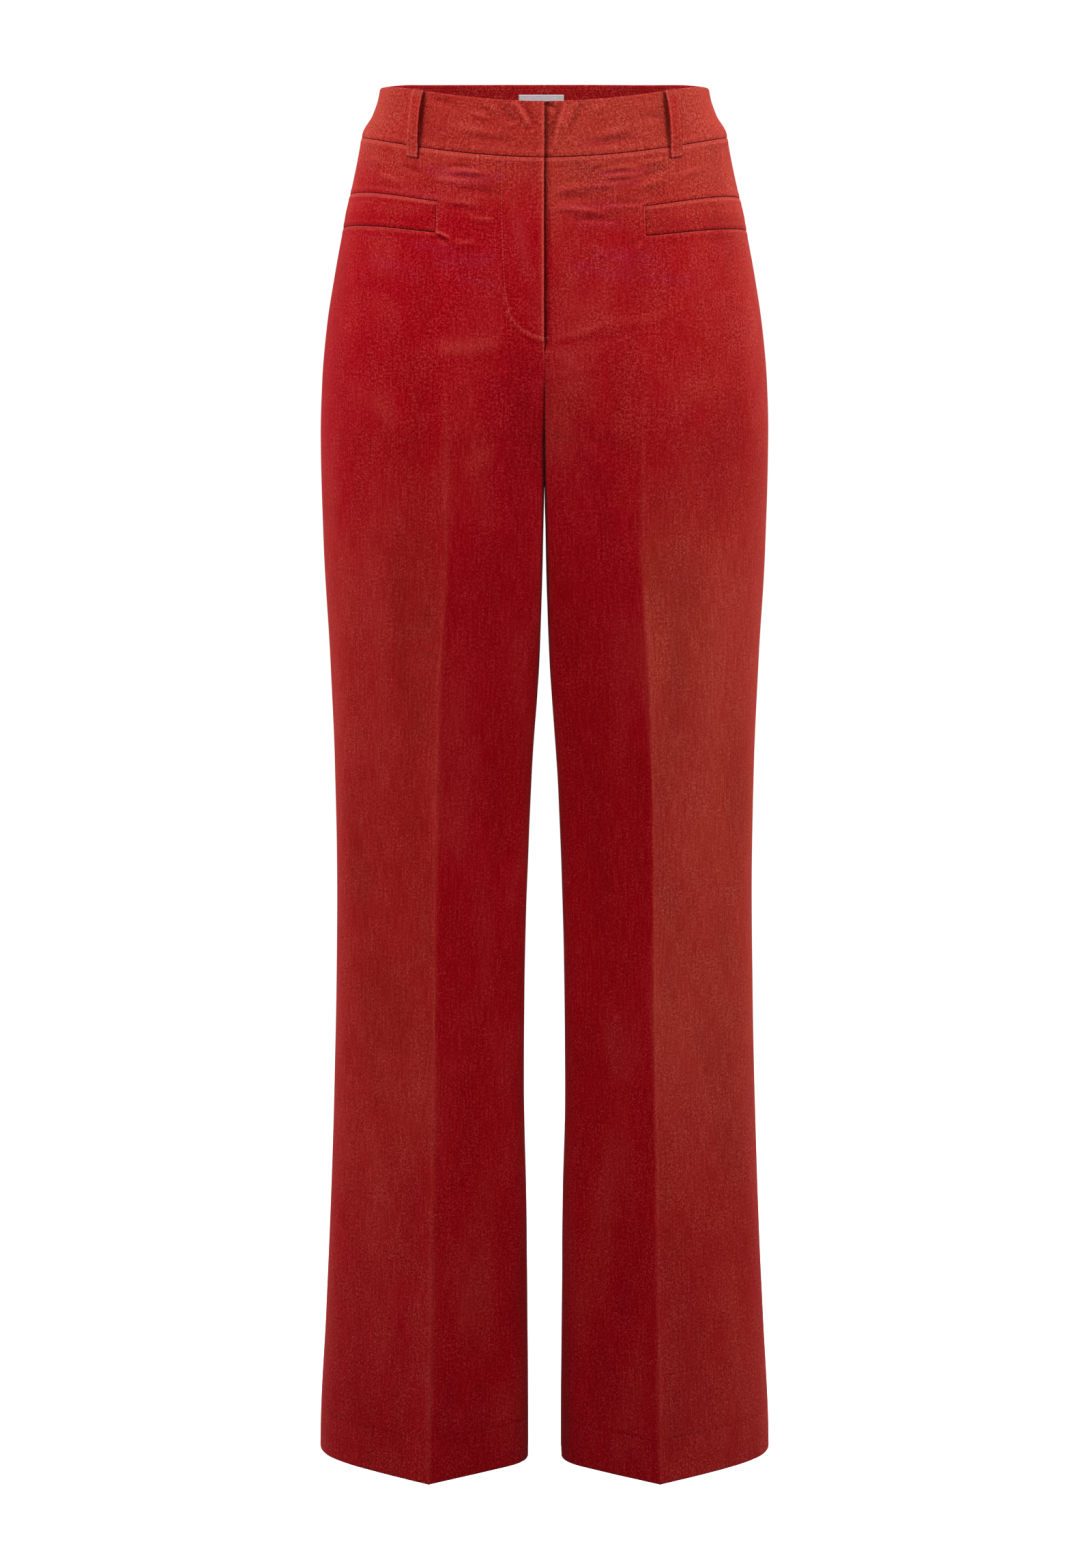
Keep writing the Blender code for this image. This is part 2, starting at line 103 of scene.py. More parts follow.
def set_inputs(node, values):
    """Give a node's inputs their values, by name."""
    for name, value in values.items():
        node.inputs[name].default_value = value


def hang_softbox(name, box):
    """An area light of that size at its place, turned towards its aim."""
    data = bpy.data.lights.new(name, "AREA")
    data.shape = "RECTANGLE"
    data.size, data.size_y = box.width, box.tall
    data.energy = box.watts
    data.color = LIGHT_COLOUR
    lamp = bpy.data.objects.new(name, data)
    bpy.context.scene.collection.objects.link(lamp)
    bearing = math.radians(box.bearing)
    across, along = math.sin(bearing) * box.distance, -math.cos(bearing) * box.distance
    place = Vector((across, along, box.height))
    lamp.location = place
    lamp.rotation_euler = (Vector((0, 0, box.aim)) - place).to_track_quat("-Z", "Y").to_euler()
    lamp.visible_camera = False


for lamp_name, lamp_box in SOFTBOXES.items():
    hang_softbox(lamp_name, lamp_box)
print("softboxes:", len(SOFTBOXES))

# %% [markdown]
# The white floor and the white backdrop stand for a paper sweep. They shine evenly and cast
# nothing back, as a cut-out does. So the backdrop has two lights: a bright one that only the
# camera sees, and a faint one that falls on the cloth. The Standard view keeps the colours
# of the materials as they are.

# %% Backdrop and floor
FLOOR_HEIGHT = -1.32
FLOOR_RADIUS = 9.0
FLOOR_CORNERS = 64
WORLD_LIGHT = 0.045
BACKDROP_LIGHT = 1.05
WHITE = (1, 1, 1, 1)
PAPER = {"Base Color": (0.8, 0.8, 0.8, 1), "Roughness": 0.95, "Specular IOR Level": 0.0,
         "Emission Color": WHITE, "Emission Strength": 1.0}


def new_material(name):
    """A material, its node tree and its Principled shader."""
    material = bpy.data.materials.new(name)
    material.use_nodes = True
    return material, material.node_tree, material.node_tree.nodes["Principled BSDF"]


world = bpy.data.worlds.new("white_studio")
bpy.context.scene.world = world
world.use_nodes = True
sky = world.node_tree
sky.nodes.clear()
sky_output = sky.nodes.new("ShaderNodeOutputWorld")
sky_light = sky.nodes.new("ShaderNodeBackground")
sky_seen = sky.nodes.new("ShaderNodeBackground")
sky_mix = sky.nodes.new("ShaderNodeMixShader")
sky_path = sky.nodes.new("ShaderNodeLightPath")
set_inputs(sky_light, {"Color": WHITE, "Strength": WORLD_LIGHT})
set_inputs(sky_seen, {"Color": WHITE, "Strength": BACKDROP_LIGHT})
sky.links.new(sky_path.outputs["Is Camera Ray"], sky_mix.inputs[0])
sky.links.new(sky_light.outputs[0], sky_mix.inputs[1])
sky.links.new(sky_seen.outputs[0], sky_mix.inputs[2])
sky.links.new(sky_mix.outputs[0], sky_output.inputs["Surface"])

bpy.context.scene.view_settings.view_transform = "Standard"
bpy.context.scene.view_settings.look = "None"

floor_mesh = bpy.data.meshes.new("floor")
floor_ring = [(FLOOR_RADIUS * math.cos(a), FLOOR_RADIUS * math.sin(a), FLOOR_HEIGHT)
              for a in np.linspace(0, 2 * math.pi, FLOOR_CORNERS + 1)[:-1]]
floor_mesh.from_pydata(floor_ring, [], [tuple(range(len(floor_ring)))])
floor = bpy.data.objects.new("floor", floor_mesh)
bpy.context.scene.collection.objects.link(floor)
floor.visible_diffuse = False
paper, _, paper_shader = new_material("white_paper")
set_inputs(paper_shader, PAPER)
floor_mesh.materials.append(paper)
print("floor at", FLOOR_HEIGHT)

# %% [markdown]
# ## The garment's form, in two kinds of table
#
# Flat cloth only bends one way at a time, so the form of trousers is told well by level
# slices. OUTLINE holds what the front view shows: how far each leg's outer and inner edge
# lies from the middle. FRONT and BACK hold the depth of a slice: where the pressed fold
# stands, how steeply the cloth comes to it and leaves it, how deep and how steeply it then
# meets the middle plane, how far back the middle seam or the inseam lies behind that, and
# how much cloth the corner between them takes on each side.
# The shells lie on the frame's own walls, but their edges meet at the seams, where the frame
# leaves a hair's breadth between its walls.

# %% Sizes of the cloth
CLOTH = 0.0016
BAND_WALL = 0.0024
HEM_WALL = 0.0028
LENGTH = 1.068
BAND_DEPTH = 0.0402
FLY_END = 0.187
CROTCH = 0.2645
HEM_DEPTH = 0.034
SIDES = ("right", "left")
SIDE_SIGN = {"right": -1, "left": 1}
HALF_SIGN = {"front": -1, "back": 1}

Outline = namedtuple("Outline", "drop outer inner")
OUTLINE = (
    Outline(0.000, 0.1252, 0.0000),
    Outline(0.011, 0.1271, 0.0000),
    Outline(0.023, 0.1309, 0.0000),
    Outline(0.036, 0.1384, 0.0000),
    Outline(0.041, 0.1393, 0.0000),
    Outline(0.060, 0.1429, 0.0000),
    Outline(0.101, 0.1520, 0.0000),
    Outline(0.142, 0.1600, 0.0000),
    Outline(0.184, 0.1667, 0.0000),
    Outline(0.226, 0.1706, 0.0000),
    Outline(0.265, 0.1719, 0.0000),
    Outline(0.352, 0.1701, 0.0013),
    Outline(0.437, 0.1657, 0.0040),
    Outline(0.522, 0.1625, 0.0098),
    Outline(0.608, 0.1614, 0.0136),
    Outline(0.695, 0.1625, 0.0157),
    Outline(0.782, 0.1647, 0.0163),
    Outline(0.870, 0.1679, 0.0145),
    Outline(0.958, 0.1722, 0.0137),
    Outline(1.046, 0.1771, 0.0130),
    Outline(1.068, 0.1776, 0.0130),
)

Profile = namedtuple("Profile", "drop fold_x fold rise fall meet turn centre corner full")
FRONT = (
    Profile(0.000, 0.0700, 0.0780, 27, -27, 0.0940, 0, 0.0940, 0.005, 0.62),
    Profile(0.041, 0.0710, 0.0845, 23, -22, 0.0985, 0, 0.0985, 0.005, 0.62),
    Profile(0.100, 0.0730, 0.0935, 19, -16, 0.1045, 0, 0.1045, 0.005, 0.62),
    Profile(0.150, 0.0740, 0.1015, 14, -7, 0.1072, 0, 0.1072, 0.005, 0.62),
    Profile(0.187, 0.0740, 0.1062, 12, 0, 0.1065, 3, 0.1065, 0.005, 0.62),
    Profile(0.213, 0.0740, 0.1085, 12, 4, 0.1040, 6, 0.1010, 0.006, 0.62),
    Profile(0.235, 0.0740, 0.1094, 12.2, 7, 0.1000, 9, 0.0850, 0.006, 0.62),
    Profile(0.250, 0.0740, 0.1096, 12.6, 8.8, 0.0968, 11, 0.0610, 0.007, 0.62),
    Profile(0.259, 0.0740, 0.1094, 13, 9.8, 0.0947, 12.3, 0.0320, 0.008, 0.62),
    Profile(0.2645, 0.0740, 0.1090, 13.3, 10.5, 0.0932, 13, -0.0120, 0.009, 0.62),
    Profile(0.350, 0.0738, 0.1030, 18, 17, 0.0778, 21, -0.0100, 0.010, 0.66),
    Profile(0.450, 0.0790, 0.0940, 25, 24, 0.0578, 28, -0.0040, 0.011, 0.71),
    Profile(0.566, 0.0822, 0.0865, 30, 29.5, 0.0440, 33, 0.0000, 0.012, 0.76),
    Profile(0.700, 0.0835, 0.0885, 33, 33, 0.0420, 36, 0.0010, 0.013, 0.79),
    Profile(0.870, 0.0860, 0.0975, 36, 36, 0.0425, 39, 0.0010, 0.015, 0.81),
    Profile(1.068, 0.0892, 0.1110, 38.5, 38.5, 0.0480, 41.5, 0.0010, 0.017, 0.82),
)
BACK = (
    Profile(0.000, 0.0700, 0.0795, 27, -27, 0.0955, 0, 0.0955, 0.008, 0.62),
    Profile(0.041, 0.0720, 0.0915, 24, -20, 0.1040, 0, 0.1040, 0.008, 0.62),
    Profile(0.100, 0.0740, 0.1075, 20, -10, 0.1140, 0, 0.1140, 0.008, 0.62),
    Profile(0.150, 0.0760, 0.1185, 16, -2, 0.1180, 3, 0.1180, 0.008, 0.62),
    Profile(0.187, 0.0770, 0.1232, 14, 3, 0.1185, 6, 0.1160, 0.008, 0.62),
    Profile(0.213, 0.0775, 0.1232, 14, 6, 0.1145, 9, 0.1075, 0.008, 0.62),
    Profile(0.235, 0.0779, 0.1212, 14.4, 8, 0.1085, 12, 0.0910, 0.008, 0.62),
    Profile(0.250, 0.0780, 0.1188, 14.8, 9.5, 0.1035, 14, 0.0690, 0.008, 0.62),
    Profile(0.259, 0.0781, 0.1170, 15.1, 10.5, 0.1000, 15.5, 0.0440, 0.008, 0.62),
    Profile(0.2645, 0.0782, 0.1158, 15.3, 11, 0.0978, 16, 0.0120, 0.008, 0.62),
    Profile(0.350, 0.0790, 0.1040, 18, 15.5, 0.0780, 22, 0.0100, 0.012, 0.66),
    Profile(0.450, 0.0800, 0.0900, 22, 20, 0.0590, 26, 0.0040, 0.018, 0.71),
    Profile(0.566, 0.0815, 0.0775, 26, 26, 0.0405, 31, 0.0000, 0.022, 0.76),
    Profile(0.700, 0.0830, 0.0795, 30, 30, 0.0375, 34, -0.0010, 0.024, 0.79),
    Profile(0.870, 0.0860, 0.0885, 33, 33, 0.0390, 37, -0.0010, 0.024, 0.81),
    Profile(1.068, 0.0892, 0.1000, 35, 35, 0.0435, 39, -0.0010, 0.024, 0.82),
)
PROFILES = {"front": FRONT, "back": BACK}
print("outside leg:", LENGTH, "m, hem width:", round(OUTLINE[-1].outer - OUTLINE[-1].inner, 3), "m")

# %% [markdown]
# ### Reading between the rows
#
# A straight line between two rows would leave a bend at every row, and a common spline would
# swing past them. This curve keeps to the rows: it gives each row the slope between its two
# neighbours' slopes, and none where the values turn round. Three small helpers for soft
# steps and bells go with it, because most of the cloth's relief is made of them.

# %% Eased columns
def eased(table, column):
    """A function that reads one column at any drops, eased between rows without overshoot."""
    at = np.array([row.drop for row in table])
    value = np.array([getattr(row, column) for row in table], dtype=float)
    step = np.diff(at)
    rise = np.diff(value) / step
    slope = np.zeros(len(at))
    slope[0] = rise[0]
    slope[-1] = rise[-1]
    for i in range(1, len(at) - 1):
        if rise[i - 1] * rise[i] > 0:
            slope[i] = 2 * rise[i - 1] * rise[i] / (rise[i - 1] + rise[i])

    def read(drop):
        i = np.clip(np.searchsorted(at, drop, side="right") - 1, 0, len(step) - 1)
        t = (drop - at[i]) / step[i]
        start = value[i] * (1 + 2 * t) * (1 - t) ** 2 + slope[i] * step[i] * t * (1 - t) ** 2
        end = value[i + 1] * t * t * (3 - 2 * t) - slope[i + 1] * step[i] * t * t * (1 - t)
        return start + end

    return read


def smooth(t):
    """0 to 1 with a soft start and end."""
    t = np.clip(t, 0.0, 1.0)
    return t * t * (3 - 2 * t)


def past(drop, start, length):
    """0 down to the start and 1 from a length below it, eased between."""
    return smooth((drop - start) / length)


def bell(distance, width):
    """A soft bell: 1 at no distance, and next to nothing past twice its width."""
    return np.exp(-((distance / width) ** 2))


outline_at = {name: eased(OUTLINE, name) for name in ("outer", "inner")}
profile_at = {
    half: {name: eased(table, name) for name in Profile._fields[1:]}
    for half, table in PROFILES.items()
}
print("half-width of the hips:", round(float(outline_at["outer"](np.array(0.2))), 4), "m")

# %% [markdown]
# ### One quarter of a slice
#
# From the side seam to the pressed fold the cloth makes one easy bend, and from the fold it
# runs almost straight to the middle. A cubic arc that leaves and arrives in a given
# direction draws each of the two. Below the fly the cloth then turns sharply inwards,
# between the legs: two straight ways with one soft turn, whose size the tables name.

# %% Arcs and the turn inwards
STRAIGHTEST = math.radians(3)
CORNER_REACH = 0.018
CORNER_START = 0.004
CORNER_SHARES = (0.0, 0.5, 0.65, 0.8, 1.0)
CORNER_EARLY = 0.7
CORNER_LATE = 0.4
TINY = 0.00001


def way(degrees):
    """Plan direction of cloth that runs from side to middle, turned inward by this angle."""
    return np.stack([-np.cos(np.radians(degrees)), -np.sin(np.radians(degrees))], axis=-1)


def between_ways(a, b):
    """Angle between two directions, never quite straight."""
    return np.maximum(np.arccos(np.clip((a * b).sum(axis=-1), -1, 1)), STRAIGHTEST)


def arc(start, start_way, end, end_way, full):
    """A cubic arc that leaves and arrives along the given ways, as a function of 0 to 1."""
    chord = end - start
    length = np.linalg.norm(chord, axis=-1)
    chord_way = chord / length[..., None]
    first = between_ways(start_way, chord_way)
    last = between_ways(end_way, chord_way)
    reach = full * length / np.sin(first + last)
    near = start + start_way * (reach * np.sin(last))[..., None]
    far = end - end_way * (reach * np.sin(first))[..., None]

    def at(t):
        t = t[..., None]
        left = 1 - t
        return left**3 * start + 3 * left**2 * t * near + 3 * left * t**2 * far + t**3 * end

    return at, length


def half_plus(u, soft):
    """0 below zero and u above it, with a soft turn between."""
    return np.where(np.abs(u) < soft, (u + soft) ** 2 / (4 * soft), np.maximum(u, 0.0))


def turned_in(flat, length, soft, u):
    """Points of cloth that follows an arc and turns straight back where it ends.

    u is the way along: -length at the arc's start, 0 at the corner, and more behind it.
    """
    back = half_plus(u, soft)
    return flat(1 - half_plus(-u, soft) / length) - np.stack([np.zeros_like(back), back], axis=-1)


def corner_way(length, back, t):
    """The way along for a share of 0 to 1, with the corner always at the same share."""
    turned = smooth(back / CORNER_START)
    before, after = (1 - turned) * CORNER_REACH, turned * np.minimum(CORNER_REACH, back / 2)
    near = (-CORNER_EARLY * before, after - CORNER_LATE * before)
    stops = (-length, -CORNER_REACH, *near, back)
    along = stops[0]
    runs = zip(CORNER_SHARES, CORNER_SHARES[1:], stops, stops[1:])
    for share, next_share, stop, next_stop in runs:
        along = along + (next_stop - stop) * np.clip((t - share) / (next_share - share), 0, 1)
    return along


print("shares of the turn inwards:", CORNER_SHARES)

# %% [markdown]
# A "share" says where we are on a slice: 0 at the side seam, 1 at the fold and 2 at the
# middle seam or the inseam. A share past 2 goes on over the middle to the other side, which
# the extension under the fly needs. The tangent comes from two points close by.

# %% Slices
def section(half, drop, share):
    """Plan of one quarter of the garment: distance from the middle and depth, with tangents."""
    drop, share = np.broadcast_arrays(np.asarray(drop, float), np.asarray(share, float))
    read = profile_at[half]
    rise, fall, turn, full = (read[name](drop) for name in ("rise", "fall", "turn", "full"))
    meet, centre, corner = (read[name](drop) for name in ("meet", "centre", "corner"))
    other = profile_at["back" if half == "front" else "front"]["centre"](drop)
    centre = np.where(drop >= CROTCH, (centre - other) / 2, centre)
    inner = outline_at["inner"](drop)
    side = np.stack([outline_at["outer"](drop), np.zeros_like(drop)], axis=-1)
    fold = np.stack([read["fold_x"](drop), read["fold"](drop)], axis=-1)
    outward_way = np.broadcast_to(np.array([0.0, 1.0]), side.shape)
    outer_arc, _ = arc(side, outward_way, fold, way(-rise), full)
    flat, length = arc(fold, way(fall), np.stack([inner, meet], axis=-1), way(turn), full)
    back = np.maximum(meet - centre, 0.0)
    soft = np.minimum(corner, np.maximum(back / 2, TINY / 100))
    t = np.minimum(share, 1)
    u = corner_way(length, back, np.clip(share - 1, 0, 1))
    past_fold = (share > 1)[..., None]
    points = np.where(past_fold, turned_in(flat, length, soft, u), outer_arc(t))
    outer_step = outer_arc(np.minimum(t + TINY, 1)) - outer_arc(np.maximum(t - TINY, 0))
    inner_step = turned_in(flat, length, soft, np.minimum(u + TINY, back))
    inner_step = inner_step - turned_in(flat, length, soft, np.maximum(u - TINY, -length))
    tangents = np.where(past_fold, inner_step, outer_step)
    tangents = tangents / np.linalg.norm(tangents, axis=-1, keepdims=True)
    mean = way(-rise) + way(fall)
    mean = mean / np.linalg.norm(mean, axis=-1, keepdims=True)
    return points, np.where(np.isclose(share, 1)[..., None], mean, tangents)


print("middle of the front at the fly's end:", section("front", FLY_END, 2.0)[0].round(4))

# %% [markdown]
# ### From a slice to the cloth's outer face
#
# The waist hangs a little lower at the front, so a point's drop grows there by a "dip" that
# fades out down the hips. The outward direction of the cloth, its normal, comes from the
# slice's tangent and from how the slice changes just above and below.

# %% The outer face
FRONT_DIP = 0.012
DIP_REACH = 0.0945
DIP_POWER = 2.6
DIP_MOST = 1.2
DIP_FADE = 0.12
SLOPE_STEP = 0.0008


def dip(half, drop, depth):
    """How far the waist's front hangs below its sides, fading out down the hips."""
    if half == "back":
        return np.zeros_like(depth)
    fade = 1 - past(drop, BAND_DEPTH, DIP_FADE)
    return FRONT_DIP * fade * np.clip(depth / DIP_REACH, 0, DIP_MOST) ** DIP_POWER


def face(side, half, drop, share):
    """World points and outward normals of the cloth's outer face."""
    drop, share = np.broadcast_arrays(np.asarray(drop, float), np.asarray(share, float))
    crossed = share > 2
    share = np.where(crossed, 4 - share, share)
    plan, tangent = section(half, drop, share)
    higher = np.maximum(drop - SLOPE_STEP, 0.0)
    lower = np.minimum(drop + SLOPE_STEP, LENGTH)
    change = section(half, lower, share)[0] - section(half, higher, share)[0]
    run = change / (lower - higher)[..., None]
    outward = np.stack([tangent[..., 1], -tangent[..., 0]], axis=-1)
    across, ahead = SIDE_SIGN[side] * np.where(crossed, -1, 1), HALF_SIGN[half]
    height = -(drop + dip(half, drop, plan[..., 1]))
    lean = (outward * run).sum(axis=-1)
    points = np.stack([plan[..., 0] * across, plan[..., 1] * ahead, height], axis=-1)
    normals = np.stack([outward[..., 0] * across, outward[..., 1] * ahead, lean], axis=-1)
    return points, normals / np.linalg.norm(normals, axis=-1, keepdims=True)


print("middle of the waist's front:", face("right", "front", 0.0, 2.0)[0].round(4))

# %% [markdown]
# ### A tape measure along the cloth
#
# Creases, seams and stitches are sewn by lengths along the cloth, not by shares. So the
# length of cloth from the side seam is measured once, on a fine lattice of slices, and read
# back between its points. The cloth is cut with its grain along the pressed fold, so a
# place on it is given as its distance from the fold, positive towards the side, and drop.

# %% Tape measure
TAPE_DROPS = np.linspace(0.0, LENGTH, 357)
TAPE_SHARES = np.linspace(0.0, 2.0, 241)
TAPE_FOLD = len(TAPE_SHARES) // 2


def measured(half):
    """Length of cloth from the side seam to each share, for each drop of the lattice."""
    plan = section(half, TAPE_DROPS[:, None], TAPE_SHARES[None, :])[0]
    steps = np.linalg.norm(np.diff(plan, axis=1), axis=2)
    return np.hstack([np.zeros((len(TAPE_DROPS), 1)), np.cumsum(steps, axis=1)])


tape = {half: measured(half) for half in HALF_SIGN}


def tape_row(half, drop):
    """The lattice's lengths at one drop."""
    at = drop / LENGTH * (len(TAPE_DROPS) - 1)
    i = min(int(at), len(TAPE_DROPS) - 2)
    return tape[half][i] * (i + 1 - at) + tape[half][i + 1] * (at - i)


print("slices and shares on the tape:", {half: grid.shape for half, grid in tape.items()})


def length_at(half, drop, share):
    """Length of cloth from the side seam; past a share of 2 it goes on over the middle."""
    drop, share = np.broadcast_arrays(np.asarray(drop, float), np.asarray(share, float))
    crossed = share > 2
    own = np.where(crossed, 4 - share, share)
    y = np.clip(drop / LENGTH * (len(TAPE_DROPS) - 1), 0, len(TAPE_DROPS) - 1.001)
    x = np.clip(own / 2 * (len(TAPE_SHARES) - 1), 0, len(TAPE_SHARES) - 1.001)
    i, j = y.astype(int), x.astype(int)
    y, x = y - i, x - j
    t = tape[half]
    length = (t[i, j] * (1 - x) + t[i, j + 1] * x) * (1 - y)
    length = length + (t[i + 1, j] * (1 - x) + t[i + 1, j + 1] * x) * y
    whole = t[i, -1] * (1 - y) + t[i + 1, -1] * y
    return np.where(crossed, 2 * whole - length, length)


# %% [markdown]
# The tape also answers the other way round: how long the cloth is from seam to seam, how far
# a share lies from the pressed fold, and which share lies at a distance from the middle.

# %% Reading the tape
def whole_at(half, drop):
    """Length of cloth from the side seam to the middle."""
    return np.interp(drop, TAPE_DROPS, tape[half][:, -1])


def from_fold_at(half, drop, share):
    """Length of cloth from the pressed fold, positive towards the side seam."""
    fold = np.interp(drop, TAPE_DROPS, tape[half][:, TAPE_FOLD])
    return fold - length_at(half, drop, share)


def share_at(half, drop, x, along=0.0):
    """Share at a distance x from the middle, moved on along the cloth towards the middle."""
    plan = section(half, np.full(len(TAPE_SHARES), drop), TAPE_SHARES)[0]
    row = tape_row(half, drop)
    start = np.interp(-x, -plan[:, 0], row)
    return float(np.interp(start + along, row, TAPE_SHARES))


def on_cloth(half, line):
    """A line given by distance from the middle and drop, as places on the cloth."""
    return [(float(from_fold_at(half, d, share_at(half, d, x))), d) for x, d in line]


for spot, spot_drop in (("waist", 0.0), ("hips", 0.2)):
    girth = 2 * sum(float(whole_at(half, spot_drop)) for half in HALF_SIGN)
    print(spot, "girth:", round(girth, 3), "m")
print("hem girth:", round(sum(float(whole_at(half, LENGTH)) for half in HALF_SIGN), 3), "m each")

# %% [markdown]
# ## Creases placed one by one
#
# Velvet keeps every pinch and pull: a few small ones fan out from the closure, from the
# pocket corners and from the end of the fly, and the legs carry long soft ones. Each is a
# row here, in millimetres: where it starts and ends, as distance from the middle and drop,
# how far its line bows, its width, and its height, which is negative for a trough. The
# hidden back gets its own, of the same kind. A ridge's section is a soft bell, and it fades
# out at both ends.

# %% Crease tables
Crease = namedtuple("Crease", "x drop to_x to_drop bow width height")
BAND_CREASES_MM = {
    ("right", "front"): (
        (23.2, 0.6, 11, 19.5, 0.6, 2.4, 1.37), (18, 0.6, 7, 21, 0, 2.4, -1.01),
        (34, 3, 21, 23, 0.8, 4, -0.5), (56, 12, 42, 15, 0.6, 1.8, 0.5),
        (30, 19, 19, 16, -0.6, 1.6, 0.5), (70, 24, 30, 27, 1, 3.6, 0.5),
        (60, 29, 20, 31, 1, 3.4, -0.43), (85, 6, 62, 9, 1, 2.8, -0.5),
        (44, 5, 33, 12, 1, 2.2, 0.5), (50, 8, 40, 9, 0.4, 1.4, -0.43),
    ),
    ("left", "front"): (
        (15.8, 3, 7.4, 39.5, 1.2, 1.6, 1.73), (12.2, 3, 4.5, 38, 1, 2.2, -1.51),
        (30, 1, 18.5, 29, 1.4, 3.4, -0.72), (23.5, 2, 15, 24, 1, 3, 0.72),
        (1.3, 1, 8.5, 7, 0.4, 2, -1.15), (44, 6, 33, 11, 0.6, 2.4, 0.43),
        (64, 23, 38, 27, -0.8, 3, 0.5), (70, 29, 30, 31, -0.8, 3.4, -0.43),
        (90, 20, 70, 16, 0.8, 3, -0.5),
    ),
    ("right", "back"): (
        (52, 8, 40, 30, 1, 3, 0.4), (90, 14, 64, 18, -0.8, 3.4, -0.4),
    ),
    ("left", "back"): (
        (48, 6, 56, 28, 1, 3, 0.4), (102, 16, 76, 20, 0.8, 3.4, -0.4),
    ),
}
